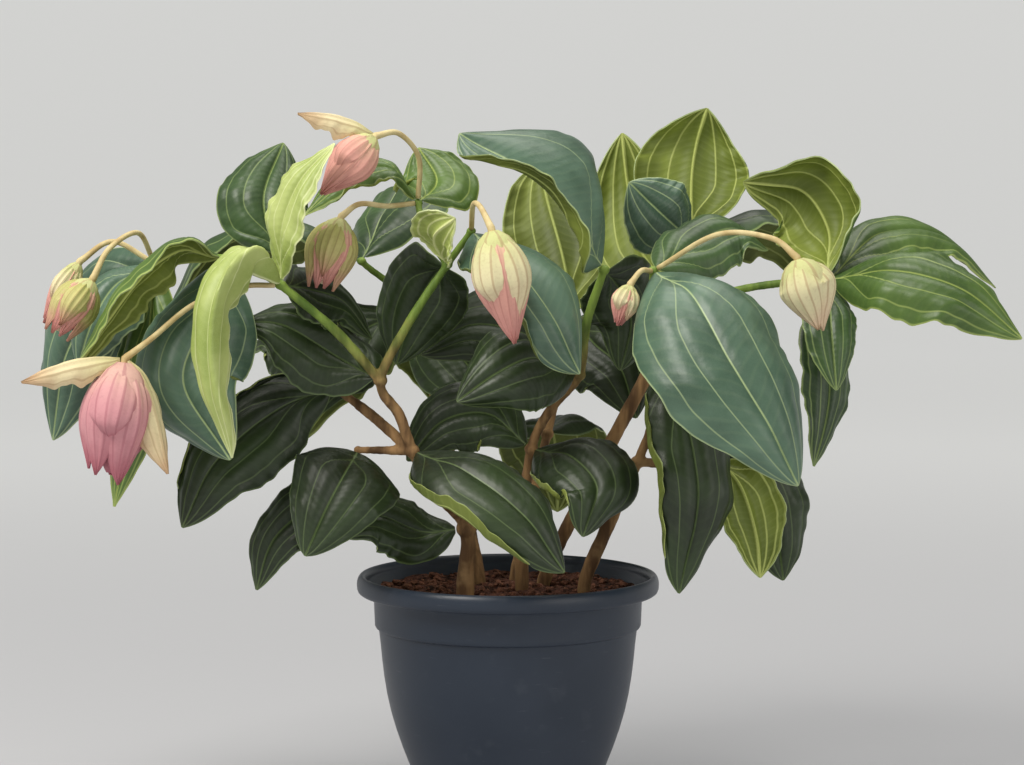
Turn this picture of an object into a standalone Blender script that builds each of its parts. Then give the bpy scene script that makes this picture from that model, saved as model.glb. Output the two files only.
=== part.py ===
"""A potted medinilla: a round nursery pot, peat, six stems with swollen nodes, leaves and hanging buds.

Metres, +Z up. The origin is the middle of the pot's flat underside, and -Y is the side shown.
Places in the tables below are in centimetres, and are read through cm().
"""

import math

import bmesh
import bpy
from mathutils import Vector, noise

CM = 0.01
MM = 0.001
GAP = 0.0003

POT_HEIGHT = 0.21
RIM_RADIUS = 0.13
RIM_INSIDE_RADIUS = 0.1215
BEAD_HEIGHT = 0.016
COLLAR_RADIUS = 0.1155
COLLAR_FOOT_RADIUS = 0.1145
COLLAR_TOP_HEIGHT = 0.190
COLLAR_FOOT_HEIGHT = 0.165
BODY_TOP_RADIUS = 0.111
BODY_RADII = ((0.137, 0.1085), (0.107, 0.1043), (0.077, 0.0967), (0.045, 0.0850))
FOOT_RADIUS = 0.072
FOOT_EDGE_RADIUS = 0.004
POT_WALL = 0.0035
POT_FLOOR = 0.004
POT_STEPS = 28

SOIL_TOP = 0.196
SOIL_CRUMB = 0.0028
SOIL_RINGS = 6
STEM_DEPTH = 0.05

STEM_SIDES_RESOLUTION = 1
NODE_SWELLING = 1.55
LEAF_THICKNESS = 0.0012
BRACT_THICKNESS = 0.0014
STALK_RADIUS = 0.0022
BASE_HALF_WIDTH = 0.0035
TIP_HALF_WIDTH = 0.0012

# Where leaves and stalks grow from: name, place in cm, and the stem's radius there in mm.
NODES = {
    "fork": ((-3.5, -4.5, 25.5), 6.0),
    "low_left": ((-8, -8, 32.5), 4.6),
    "left": ((-10.5, -10, 38.5), 4.0),
    "upper_left": ((-5, -9, 48), 3.2),
    "crown_left": ((-3, -9.5, 50.8), 2.8),
    "lime": ((-18.5, -12, 46.5), 3.4),
    "far_left": ((-23.5, -8.5, 48.5), 3.0),
    "end_left": ((-29.5, -5.5, 48), 2.6),
    "tall_left": ((-19.5, -4, 48.5), 2.6),
    "heart": ((-12.5, -6.6, 32.4), 2.8),
    "side_left": ((-14.5, -5.5, 37.5), 2.8),
    "bud_left": ((-7.5, -5, 53), 2.8),
    "low_centre": ((2, -2, 32), 4.2),
    "centre": ((6, -4, 38.5), 4.0),
    "top": ((8, -7, 47.5), 3.4),
    "low_right": ((11, -3, 31), 4.2),
    "right": ((12.5, -4.5, 39), 3.8),
    "front_right": ((12, -9, 47.5), 3.2),
    "hanging": ((17.5, -4, 31.5), 3.0),
    "back_right": ((15, 5, 44), 3.6),
    "crown_right": ((16, 5, 49.5), 3.0),
    "end_right": ((27.5, 1, 46.3), 3.0),
    "back_left": ((-9, 12, 43), 3.6),
    "high_left": ((-13, 10, 47.5), 3.0),
    "back": ((6, 16, 42), 3.6),
    "low_back": ((3.5, 11, 32), 4.0),
}

# Each stem: its foot on the soil, its radius in mm there, and the runs of nodes and bends in cm above it.
STEMS = {
    "stem_left": (
        (-3.6, -4), 7.5,
        (("foot", "fork", (-5.6, -6, 28.5), "low_left"),
         ("low_left", (-9, -9, 35.6), "left", (-8, -9.6, 43.5), "upper_left"),
         ("upper_left", "crown_left"),
         ("upper_left", (-7, -6.5, 51), "bud_left"),
         ("left", (-14, -11.2, 42.6), "lime"),
         ("lime", (-21.3, -9.6, 47.9), "far_left", (-26.6, -6.8, 48.9), "end_left"),
         ("lime", (-19.6, -7.4, 47.4), "tall_left"),
         ("low_left", "heart"),
         ("low_left", (-11.5, -6.4, 35.4), "side_left")),
    ),
    "stem_centre": (
        (1.2, -1), 6.0,
        (("foot", (1.2, -1.2, 25), "low_centre", (3.7, -3, 35.6), "centre", (6.6, -5.6, 43), "top"),),
    ),
    "stem_right": (
        (6.6, -2.5), 6.0,
        (("foot", (8.2, -2.8, 24.8), "low_right", (12.4, -3.6, 35), "right", (12, -6.4, 43.4), "front_right"),
         ("low_right", (14.2, -3.2, 30.9), "hanging")),
    ),
    "stem_back_right": (
        (3.4, 3), 6.0,
        (("foot", (8, 4.2, 30), (12.5, 4.8, 38.5), "back_right", "crown_right"),
         ("back_right", (21.5, 3.2, 45.6), "end_right")),
    ),
    "stem_back_left": (
        (-2.6, 3.6), 5.5,
        (("foot", (-5, 7.4, 30), "back_left", "high_left"),),
    ),
    "stem_back": (
        (0.8, 5.2), 5.5,
        (("foot", "low_back", (5, 14, 37.5), "back"),),
    ),
}

# Each leaf: the node it grows from, its midrib beyond that in cm, the way its upper side faces, its width
# in cm, the lift of its halves at the rib and their fall towards the edge in degrees, its edge waves in mm,
# its form, and for a leaf with one half wider than the other, its lean.
LEAVES = {
    "leaf_right_front": (
        "front_right", ((14.8, -15.5, 46), (17.6, -19.5, 41), (20.6, -21, 36), (23, -20.5, 31)),
                         (0.2, -0.9, 0.4), 13.5, 8, -34, 5, "broad"),
    "leaf_centre_front": ("crown_left", ((0.5, -15.2, 48.4), (3.6, -17.2, 44.4), (5.8, -16.8, 39.6)),
                          (0.5, -0.75, 0.45), 14.5, 4, -46, 3, "broad", -0.5),
    "leaf_top": ("top", ((6, -9, 51.2), (1.8, -9.8, 55.6), (-4, -8.5, 58.8)),
                 (0.4, -0.7, 0.6), 16.5, 10, -36, 3, "broad", 0.7),
    "leaf_upright_right": ("crown_right", ((16.1, 7.6, 54.5), (16.6, 8.2, 58), (17.4, 7, 61)),
                           (0.1, 0.98, -0.1), 10.5, 14, -30, 3, "broad"),
    "leaf_upright_behind": ("back_right", ((11.8, 9.4, 48.4), (10.8, 12.4, 53.6), (10.2, 13, 58.8)),
                            (0.15, 0.95, -0.2), 9, 12, -24, 3, "broad"),
    "leaf_arched_right": ("end_right", ((27.8, 4, 50.6), (25.4, 5, 54), (20.4, 4.6, 54.6)),
                          (-0.1, 0.75, 0.65), 9.5, 10, -30, 4, "broad"),
    "leaf_far_right_top": ("end_right", ((32.4, 5.8, 50.2), (38.2, 8.4, 49.8), (43.2, 9.4, 45.2)),
                           (0.15, -0.35, 0.9), 8, 14, -30, 3, "broad"),
    "leaf_edge_right": ("end_right", ((27.4, -0.8, 41.5), (27.4, -2, 36), (26, -2.8, 30.6)),
                        (0.5, -0.85, 0.1), 5.5, 8, -24, 3, "narrow"),
    "leaf_far_right_low": ("end_right", ((32.5, -4.2, 47.4), (38, -6.4, 45.9), (43, -6, 41.7)),
                           (0.1, -0.75, 0.65), 8.5, 10, -34, 5, "broad"),
    "leaf_small_right": ("end_right", ((27.3, -3.6, 43), (27.6, -5.2, 37.3)),
                         (0.2, -0.97, 0.1), 5, 6, -20, 2, "broad"),
    "leaf_lime_hanging": (
        "lime", ((-21, -16.5, 49.7), (-23.5, -19.5, 45.5), (-23.6, -19.8, 39), (-22, -18.5, 33)),
                          (-0.75, -0.6, 0.2), 8.5, 16, -40, 4, "narrow"),
    "leaf_lime_upright": ("lime", ((-18.3, -13.4, 51.4), (-16.8, -13.8, 55), (-14, -13.2, 58)),
                          (-0.7, -0.65, 0.2), 5, 16, -20, 3, "narrow"),
    "leaf_tall_left": ("tall_left", ((-20.6, -2.6, 53.5), (-19.2, 1, 58)),
                       (0.1, -0.95, 0.3), 8.5, 8, -30, 3, "broad"),
    "leaf_olive_left": ("far_left", ((-27, -11.2, 49.4), (-31, -13.4, 46), (-35, -14, 39.8)),
                        (0.45, 0.35, 0.82), 7.5, 12, -30, 3, "broad"),
    "leaf_blue_left": ("end_left", ((-32.6, -7.4, 46.4), (-34.4, -8.6, 43.4), (-35.6, -8.6, 39.4)),
                       (-0.35, -0.8, 0.45), 7.5, 8, -30, 3, "broad"),
    "leaf_end_left": ("end_left", ((-34, -3.4, 45.5), (-37.6, -2.4, 40), (-39, -0.4, 32.6)),
                      (-0.35, -0.9, 0.25), 9.5, 8, -34, 3, "broad"),
    "leaf_grey_left": ("far_left", ((-24.8, -11.2, 43.8), (-26.4, -13.2, 38.5), (-22.6, -13.4, 32.3)),
                       (-0.1, -0.97, 0.2), 10.5, 8, -34, 3, "broad"),
    "leaf_low_left": ("side_left", ((-19, -5.4, 36), (-24.4, -6.6, 31.6), (-27.2, -7.6, 26)),
                      (-0.1, -0.85, 0.5), 9, 8, -30, 3, "broad"),
    "leaf_under_flower": ("end_left", ((-30, -8.2, 41), (-31.4, -9.6, 34), (-32.6, -9.6, 28)),
                          (-0.3, -0.95, 0.1), 5.5, 8, -20, 2, "narrow"),
    "leaf_shadow_left": ("left", ((-13.8, -7.8, 40.2), (-18.5, -8, 43), (-22, -8, 43.2)),
                         (0, -0.8, 0.6), 8, 10, -34, 3, "broad"),
    "leaf_heart": ("heart", ((-13.4, -10.6, 31), (-15, -12.2, 28), (-16.6, -12.6, 24.3)),
                   (-0.1, -0.96, 0.25), 10, 6, -26, 3, "heart"),
    "leaf_low_far_left": ("heart", ((-16, -7.2, 28.4), (-19.6, -7.6, 25), (-21, -8, 20.8)),
                          (-0.2, -0.92, 0.3), 5.5, 8, -20, 3, "broad"),
    "leaf_above_soil": ("fork", ((-7.2, -5.2, 25.4), (-11, -7, 27), (-14.6, -8.2, 25.6)),
                        (0, -0.8, 0.6), 6.5, 8, -26, 3, "broad"),
    "leaf_front_low": ("low_left", ((-3.4, -13.4, 31.5), (1.4, -16.4, 28.2), (4.6, -16.4, 23.5)),
                       (0.4, -0.75, 0.55), 11.5, 6, -34, 3, "broad"),
    "leaf_low_centre": ("low_centre", ((5.2, -6.6, 32), (7.4, -9.6, 29.6), (6.2, -10.4, 25.6)),
                        (0.15, -0.92, 0.35), 9.5, 6, -30, 3, "broad"),
    "leaf_oval": ("centre", ((2.4, -8.6, 40.4), (-1, -10.6, 39.2), (-4.2, -10.4, 36.8)),
                  (0, -0.92, 0.4), 9, 6, -34, 2, "broad"),
    "leaf_hanging_right": ("right", ((14.4, -8.6, 36.5), (15.8, -10.6, 29), (14.2, -10, 20.8)),
                           (0.35, -0.93, 0.05), 9.5, 12, -40, 6, "broad"),
    "leaf_hanging_olive": ("hanging", ((19.6, -6.2, 29), (20.8, -6.4, 25), (21.2, -6.4, 21.6)),
                           (-0.3, 0.93, 0.1), 6, 12, -30, 4, "broad"),
    "leaf_hanging_dark": ("hanging", ((21, -3.4, 30), (22.8, -3.2, 25.5), (23.5, -2.6, 20.8)),
                          (0.15, -0.97, 0.15), 8, 10, -30, 5, "broad"),
    "leaf_behind_bud": ("bud_left", ((-6, -2.4, 55), (-7.6, -0.4, 57.6)),
                        (0.1, -0.92, 0.35), 7.5, 8, -24, 3, "broad"),
    "leaf_arch_left": ("bud_left", ((-9.8, -5.4, 56), (-13.4, -5.8, 55.4), (-17, -6, 52)),
                       (-0.1, -0.5, 0.85), 5.5, 12, -30, 3, "narrow"),
    "leaf_lime_cup": ("upper_left", ((-5.9, -12, 50.4), (-4.2, -14.4, 52)),
                      (0.35, -0.6, 0.7), 5, 20, -30, 2, "broad"),
    "leaf_behind_right_front": ("front_right", ((15.6, -6.2, 49.8), (19, -4, 51), (22, -2.6, 49)),
                                (0.1, -0.6, 0.8), 7.5, 8, -30, 3, "broad"),
    "leaf_blue_behind": ("crown_right", ((13.6, 2.4, 51.6), (10.4, 1.8, 54.6)),
                         (-0.2, -0.85, 0.45), 7.5, 8, -24, 2, "broad"),
    "leaf_back_wide_left": ("high_left", ((-18.5, 10.6, 50.4), (-25.5, 11.4, 49), (-30.5, 11.4, 42.6)),
                            (-0.1, 0.35, 0.9), 11, 10, -34, 4, "broad"),
    "leaf_back_high_left": ("high_left", ((-11.4, 14.6, 51.6), (-9.6, 19.5, 54), (-8.6, 24, 50.5)),
                            (0, 0.5, 0.85), 11, 10, -34, 4, "broad"),
    "leaf_back_low_left": ("back_left", ((-14, 16, 41.6), (-18.4, 19, 36.6), (-20, 19.6, 30)),
                           (-0.4, 0.8, 0.4), 11.5, 8, -34, 4, "broad"),
    "leaf_back_middle": ("back_left", ((-6.6, 17.5, 43), (-5, 22.4, 38.6), (-4.4, 23.8, 31.6)),
                         (0, 0.93, 0.35), 12, 8, -34, 4, "broad"),
    "leaf_back_right": ("back", ((11, 20, 43.4), (16.4, 22.6, 41), (20.6, 22.8, 34.5)),
                        (0.25, 0.75, 0.6), 12, 8, -34, 4, "broad"),
    "leaf_back_high": ("back", ((5, 18, 47.4), (3.6, 21, 52.6), (3, 23.6, 56)),
                       (0, 0.9, -0.3), 10.5, 10, -28, 3, "broad"),
    "leaf_back_low": ("low_back", ((3.8, 16.4, 33), (4.4, 21, 29.6), (4.6, 22.4, 23.6)),
                      (0, 0.93, 0.35), 11, 8, -30, 3, "broad"),
    "leaf_back_far_right": ("crown_right", ((20.6, 10.4, 51.4), (26, 14.6, 50), (29.4, 17.6, 44)),
                            (0.2, 0.5, 0.85), 11, 10, -34, 4, "broad"),
    "leaf_back_side_right": ("back_right", ((19, 8.6, 41), (22.6, 10.6, 35.5), (24, 11, 28.8)),
                             (0.45, 0.8, 0.3), 10.5, 8, -34, 4, "broad"),
    "leaf_inner_left": ("side_left", ((-16, -1, 40.6), (-19.6, 2.6, 42), (-23, 4.4, 39.6)),
                        (-0.1, -0.6, 0.8), 9, 8, -30, 3, "broad"),
}

# Leaves deep inside the plant, fused to the stem that they grow from, written as those above.
INNER_LEAVES = {
    "stem_left": {
        "inner_a": ("upper_left", ((-6.4, -6, 46.6), (-8.2, -4.6, 43.4), (-9.4, -4.2, 39.4)),
                    (0, -0.95, 0.3), 8, 8, -26, 3, "broad"),
        "inner_b": ("lime", ((-16.4, -8.4, 46), (-13.6, -5.4, 44.8), (-11.4, -4.8, 41.6)),
                    (0.1, -0.85, 0.5), 6, 8, -26, 3, "broad"),
    },
    "stem_centre": {
        "inner_c": ("centre", ((2, -1.6, 41.6), (-3, -0.6, 42.6), (-7.6, -0.4, 40)),
                    (0, -0.9, 0.4), 9, 6, -26, 2, "broad"),
        "inner_d": ("low_centre", ((-1.6, -1.4, 35), (-5.6, -1.4, 34.4), (-8.6, -2, 31)),
                    (0, -0.9, 0.4), 7, 6, -26, 2, "broad"),
        "inner_e": ("top", ((9.6, -3.2, 45.4), (10.6, -1.4, 42.6), (9.6, -0.8, 38.6)),
                    (0.1, -0.95, 0.2), 7.5, 8, -26, 3, "broad"),
    },
    "stem_back_right": {
        "inner_f": ("back_right", ((17.4, 1.6, 41.6), (20, 0.6, 37), (20.6, 0.4, 31.6)),
                    (0.2, -0.95, 0.2), 8.5, 8, -30, 3, "broad"),
    },
    "stem_back_left": {
        "inner_h": ("back_left", ((-13, 9.4, 41.4), (-16.6, 8, 38), (-18.4, 7.4, 33.4)),
                    (-0.1, -0.9, 0.4), 9, 8, -26, 3, "broad"),
        "inner_i": ("back_left", ((-5.4, 9, 40.4), (-2.6, 7.4, 37), (-1.6, 7, 32.6)),
                    (0, -0.92, 0.35), 9, 8, -26, 3, "broad"),
    },
    "stem_back": {
        "inner_j": ("back", ((7.6, 11.8, 40.2), (10, 9.8, 38), (11.4, 9.2, 33.6)),
                    (0, -0.92, 0.35), 8.5, 8, -26, 3, "broad"),
    },
}

# Each bud: its node, its stalk beyond that in cm, the way it points, length and width in cm, and its bracts,
# as (turn in degrees about the bud, length and width as shares of the bud's, how far the tip spreads in cm).
CLOSED_BUD = ((30, 1.0, 1.1, 0.2), (150, 0.96, 1.1, 0.3), (270, 0.98, 1.1, 0.2))
LOOSE_BUD = ((0, 1.0, 0.8, 1.0), (90, 0.95, 0.8, 1.4), (180, 1.02, 0.8, 0.9), (270, 0.96, 0.8, 1.2))
OPEN_BLOOM = ((10, 0.98, 0.85, 0.6), (75, 1.05, 0.8, 1.6), (150, 1.0, 0.8, 0.9), (215, 0.95, 0.8, 0.7),
              (290, 1.0, 0.85, 0.5), (345, 1.18, 0.62, 4.8), (195, 0.5, 0.6, 8.0))
CAP_BUD = CLOSED_BUD + ((188, 0.75, 0.85, 5.9),)
BUDS = {
    "bloom_front_left": ("lime",
                         ((-21.6, -13.4, 46.4), (-25.4, -14, 45), (-28.6, -15.6, 42.4), (-30.7, -16.4, 40.8)),
                         (-0.12, -0.05, -0.99), 10.5, 5.4, OPEN_BLOOM),
    "bud_top_left": ("bud_left", ((-7.4, -6.4, 56.8), (-9, -8.2, 58.8), (-10.8, -9.6, 58.6)),
                     (-0.66, -0.25, -0.7), 6.8, 3.6, CAP_BUD),
    "bud_tall_left": ("bud_left", ((-10, -7.2, 52.8), (-12.2, -8.6, 53), (-13.7, -9, 52)),
                      (-0.28, -0.1, -0.95), 6.6, 3.6, LOOSE_BUD),
    "bud_centre": ("crown_left", ((-2.8, -13, 53), (-2.2, -17.4, 53), (-1.3, -19.8, 51.4)),
                   (0.2, -0.05, -0.98), 9.4, 4.6, CLOSED_BUD),
    "bud_small_centre": ("front_right", ((10.9, -11.2, 47.6), (10, -12.4, 46.6)),
                         (-0.3, -0.1, -0.95), 3.6, 2.2, CLOSED_BUD),
    "bud_right": ("front_right", ((17, -12.4, 50.6), (21.2, -14.4, 50.4), (23.2, -15.6, 48.9)),
                  (0.3, -0.05, -0.95), 6.4, 4.4, CLOSED_BUD),
    "bud_left_end": ("end_left", ((-30.6, -8, 50.6), (-32.6, -10.8, 49.4), (-33.8, -12, 47)),
                     (-0.55, -0.1, -0.83), 5.8, 3.2, LOOSE_BUD),
    "bud_far_left": ("end_left", ((-33, -5.8, 49.8), (-35.6, -6.6, 48.2)),
                     (-0.5, -0.1, -0.86), 6, 2.2, CLOSED_BUD),
}

GRID = {"broad": (7, 6), "heart": (7, 6), "narrow": (8, 4)}
HIDDEN_GRID = (6, 4)
BRACT_GRID = (3, 2)
BRACT_BEND = (-8, -52, 0.0006)
BIG_LEAF = 9.0
# The peak of a blade's outline lies where its run to this power is a half, and the second number rounds it.
OUTLINE = {"broad": (0.86, 0.72), "heart": (0.62, 0.66), "narrow": (0.8, 0.8), "bract": (0.8, 0.75)}
HEART_LOBE = 0.030
WAVES_PER_LEAF = 3.0
WAVE_SHIFT = 1.7
RIB_GROOVE = 0.0012
PANEL_BULGE = 0.0022

COLOURS = {
    "pot": ((0.035, 0.048, 0.066), 0.5),
    "soil": ((0.06, 0.025, 0.017), 0.95),
    "stem": ((0.22, 0.12, 0.045), 0.7),
    "leaf": ((0.035, 0.075, 0.05), 0.4),
    "lime": ((0.42, 0.52, 0.13), 0.45),
    "bud": ((0.78, 0.62, 0.38), 0.6),
    "bloom": ((0.72, 0.32, 0.32), 0.6),
}


def cm(place):
    return Vector(place) * CM


def material(name):
    if name in bpy.data.materials:
        return bpy.data.materials[name]
    colour, roughness = COLOURS[name]
    made = bpy.data.materials.new(name)
    made.use_nodes = True
    shader = made.node_tree.nodes["Principled BSDF"]
    shader.inputs["Base Color"].default_value = (*colour, 1)
    shader.inputs["Roughness"].default_value = roughness
    return made


def new_object(name, data, collection, finish=None):
    made = bpy.data.objects.new(name, data)
    collection.objects.link(made)
    if finish:
        data.materials.append(material(finish))
    return made


def read_mesh(made):
    """The object's mesh with its modifiers applied, and with its loose caps welded."""
    bpy.context.view_layer.update()
    mesh = bpy.data.meshes.new_from_object(made.evaluated_get(bpy.context.evaluated_depsgraph_get()))
    shape = bmesh.new()
    shape.from_mesh(mesh)
    bmesh.ops.remove_doubles(shape, verts=shape.verts, dist=1e-5)
    shape.to_mesh(mesh)
    shape.free()
    return mesh


def as_mesh(made):
    """Puts a mesh object in the place of a curve, or of an object with modifiers."""
    mesh = read_mesh(made)
    collection = made.users_collection[0]
    name = made.name
    bpy.data.objects.remove(made)
    return new_object(name, mesh, collection)


def smooth(made, degrees=50):
    made.data.shade_smooth()
    made.data.set_sharp_from_angle(angle=math.radians(degrees))


def turned(name, profile, steps, collection, finish=None):
    """Turns a profile of (radius, height) about Z: from the axis inside, over the top and down to the axis."""
    mesh = bpy.data.meshes.new(name)
    mesh.from_pydata([(r, 0, z) for r, z in profile], [(i, i + 1) for i in range(len(profile) - 1)], [])
    made = new_object(name, mesh, collection, finish)
    screw = made.modifiers.new("Turn", "SCREW")
    screw.steps = screw.render_steps = steps
    screw.use_merge_vertices = True
    screw.merge_threshold = 0.0001
    return made


def keep_outer_skin(mesh):
    """Fills the small hollows that a union seals, and drops its scraps, by keeping the largest skin alone."""
    shape = bmesh.new()
    shape.from_mesh(mesh)
    left = set(shape.verts)
    skins = []
    while left:
        skin = {left.pop()}
        edge_of_search = list(skin)
        while edge_of_search:
            vertex = edge_of_search.pop()
            near = {edge.other_vert(vertex) for edge in vertex.link_edges} - skin
            skin |= near
            edge_of_search += near
        left -= skin
        skins.append(skin)
    largest = max(skins, key=len)
    loose = [vertex for vertex in shape.verts if vertex not in largest]
    bmesh.ops.delete(shape, geom=loose, context="VERTS")
    shape.to_mesh(mesh)
    shape.free()


def union(name, pieces, finish):
    """Joins the loose pieces into one body."""
    first, others = pieces[0], pieces[1:]
    bag = bpy.data.collections.new(name + "_pieces")
    for piece in others:
        bag.objects.link(piece)
        CUTTERS.objects.unlink(piece)
    join = first.modifiers.new("Join", "BOOLEAN")
    join.operation = "UNION"
    join.operand_type = "COLLECTION"
    join.collection = bag
    join.solver = "MANIFOLD"
    mesh = read_mesh(first)
    keep_outer_skin(mesh)
    for piece in (first, *others):
        bpy.data.objects.remove(piece)
    bpy.data.collections.remove(bag)
    mesh.materials.clear()
    made = new_object(name, mesh, PLANT, finish)
    smooth(made)
    return made


def through(points, steps):
    """Points on a smooth curve through all of the given ones, with as many steps between each two."""
    ends = [2 * points[0] - points[1], *points, 2 * points[-1] - points[-2]]
    found = []
    for a, b, c, d in zip(ends, ends[1:], ends[2:], ends[3:]):
        for step in range(steps):
            t = step / steps
            found.append(b + 0.5 * t * (c - a + t * (2 * a - 5 * b + 4 * c - d + t * (3 * (b - c) + d - a))))
    return [*found, points[-1]]


def at_share(line, share):
    """The place at a share of the line's length, and the line's direction there."""
    lengths = [(b - a).length for a, b in zip(line, line[1:])]
    wanted = share * sum(lengths)
    for a, b, length in zip(line, line[1:], lengths):
        if wanted <= length or b is line[-1]:
            return a.lerp(b, min(wanted / length, 1)), (b - a).normalized()
        wanted -= length
    raise ValueError("the line has no length")


def tube(name, points, radii, resolution=STEM_SIDES_RESOLUTION):
    """A round bar along the points, with a radius at each and closed ends."""
    curve = bpy.data.curves.new(name, "CURVE")
    curve.dimensions = "3D"
    curve.bevel_depth = 1.0
    curve.bevel_resolution = resolution
    curve.use_fill_caps = True
    spline = curve.splines.new("POLY")
    spline.points.add(len(points) - 1)
    for spot, point, radius in zip(spline.points, points, radii):
        spot.co = (*point, 1)
        spot.radius = radius
    return as_mesh(new_object(name, curve, CUTTERS))


def ball(name, place, radius):
    mesh = bpy.data.meshes.new(name)
    shape = bmesh.new()
    bmesh.ops.create_uvsphere(shape, u_segments=8, v_segments=4, radius=radius)
    bmesh.ops.translate(shape, verts=shape.verts, vec=place)
    shape.to_mesh(mesh)
    shape.free()
    return new_object(name, mesh, CUTTERS)


def half_width(share, form, width):
    peak, roundness = OUTLINE[form]
    bow = max(math.sin(math.pi * share ** peak), 0) ** roundness
    least = BASE_HALF_WIDTH + (TIP_HALF_WIDTH - BASE_HALF_WIDTH) * share
    return max(0.5 * width * bow, least)


def node_radius(node):
    return NODES[node][1] * MM * NODE_SWELLING


def leave_node(node, points):
    """The midrib's or stalk's points in metres, starting just clear of the swollen node."""
    centre = cm(NODES[node][0])
    first = cm(points[0])
    start = centre + (first - centre).normalized() * (node_radius(node) + GAP)
    return [start, *(cm(point) for point in points)]


def blade_sheet(name, midrib, facing, width, lift, fall, wave, form, grid, lean=0.0):
    """A grid bent along the midrib: two halves that lift from it, fall at the edge, bulge and wave.

    A lean above 0 makes the half on the right of the rib the wider one.
    """
    line = through(midrib, 8)
    across = at_share(line, 0.5)[1].cross(Vector(facing)).normalized()
    mesh = bpy.data.meshes.new(name)
    shape = bmesh.new()
    bmesh.ops.create_grid(shape, x_segments=grid[0], y_segments=grid[1], size=0.5)
    for vertex in shape.verts:
        share = min(max(vertex.co.x + 0.5, 0), 1)
        side = 2 * vertex.co.y
        place, along = at_share(line, share)
        sideways = (across - across.dot(along) * along).normalized()
        up = sideways.cross(along)
        out = abs(side)
        half = half_width(share, form, width)
        half *= 1 + lean * math.copysign(1, side) * math.sin(math.pi * share)
        angle = math.radians(lift + fall * out)
        swing = math.sin(2 * math.pi * WAVES_PER_LEAF * share + WAVE_SHIFT * side + 3 * width / CM)
        rise = half * out * math.sin(angle)
        rise += wave * swing * out ** 2 * math.sin(math.pi * share)
        if form != "bract":
            rise += min(half / 0.04, 1) * (PANEL_BULGE * math.sin(math.pi * out) - RIB_GROOVE * (out < 0.1))
        back = HEART_LOBE * 4 * share * (1 - share) ** 3 * out if form == "heart" else 0
        reach = math.copysign(half * out * math.cos(angle), side)
        vertex.co = place + sideways * reach + up * rise - along * back
    bmesh.ops.triangulate(shape, faces=shape.faces)
    shape.to_mesh(mesh)
    shape.free()
    return mesh


def thicken(made, thickness):
    wall = made.modifiers.new("Thickness", "SOLIDIFY")
    wall.thickness = thickness
    wall.offset = -1


def make_pot():
    """The pot: a round bead on a collar, a body that tapers in a bow, and a plain flat foot."""
    bead = BEAD_HEIGHT / 2
    middle = (RIM_RADIUS + RIM_INSIDE_RADIUS) / 2
    thick = (RIM_RADIUS - RIM_INSIDE_RADIUS) / 2
    inside = [(radius - POT_WALL, height) for height, radius in BODY_RADII]
    profile = [(0, POT_FLOOR), (FOOT_RADIUS - POT_WALL, POT_FLOOR), *reversed(inside)]
    profile.append((BODY_TOP_RADIUS - POT_WALL, COLLAR_FOOT_HEIGHT - 0.004))
    profile.append((COLLAR_RADIUS - POT_WALL, COLLAR_TOP_HEIGHT))
    for step in range(5):
        turn = math.radians(180 - 180 * step / 4)
        profile.append((middle + thick * math.cos(turn), POT_HEIGHT - bead + bead * math.sin(turn)))
    under_bead = POT_HEIGHT - BEAD_HEIGHT
    profile += [(RIM_RADIUS - 0.001, under_bead + 0.002), (RIM_RADIUS - 0.006, under_bead)]
    profile += [(COLLAR_RADIUS + 0.001, under_bead - 0.001), (COLLAR_RADIUS, COLLAR_TOP_HEIGHT)]
    profile.append((COLLAR_FOOT_RADIUS, COLLAR_FOOT_HEIGHT + 0.002))
    profile.append((COLLAR_FOOT_RADIUS - 0.001, COLLAR_FOOT_HEIGHT))
    profile.append((BODY_TOP_RADIUS, COLLAR_FOOT_HEIGHT - 0.002))
    profile += [(radius, height) for height, radius in BODY_RADII]
    profile += [(FOOT_RADIUS + 0.001, FOOT_EDGE_RADIUS), (FOOT_RADIUS - 0.002, 0), (0, 0)]
    pot = turned("pot", profile, POT_STEPS, PLANT, "pot")
    pot.modifiers["Turn"].use_smooth_shade = True


def make_soil():
    """The peat: a plug that fills the pot, with a crumbly top and a hole for each stem."""
    wall = POT_WALL + GAP * 1.5
    profile = [(COLLAR_RADIUS * ring / SOIL_RINGS, SOIL_TOP) for ring in range(SOIL_RINGS)]
    profile.append((COLLAR_RADIUS - wall, COLLAR_TOP_HEIGHT))
    profile.append((BODY_TOP_RADIUS - wall, COLLAR_FOOT_HEIGHT - 0.005))
    profile += [(radius - wall, height) for height, radius in BODY_RADII]
    profile += [(FOOT_RADIUS - wall, POT_FLOOR + GAP), (0, POT_FLOOR + GAP)]
    soil = as_mesh(turned("soil", profile, POT_STEPS, PLANT))
    for vertex in soil.data.vertices:
        if vertex.co.z > SOIL_TOP - 0.001:
            vertex.co.z += SOIL_CRUMB * noise.noise(vertex.co * 90)
    soil.data.materials.append(material("soil"))
    for name, (foot, radius, _) in STEMS.items():
        points = stem_foot(foot)
        points[0].z -= GAP
        hole = tube(name + "_hole", points, [radius * MM + GAP * 1.3] * len(points))
        hide(hole)
        cut = soil.modifiers.new(hole.name, "BOOLEAN")
        cut.operation = "DIFFERENCE"
        cut.object = hole


def stem_foot(foot):
    x, y = foot[0] * CM, foot[1] * CM
    return [Vector((x, y, SOIL_TOP - STEM_DEPTH)), Vector((x, y, SOIL_TOP)), Vector((x, y, SOIL_TOP + 0.012))]


def hide(cutter):
    cutter.hide_render = True
    cutter.display_type = "WIRE"


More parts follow.
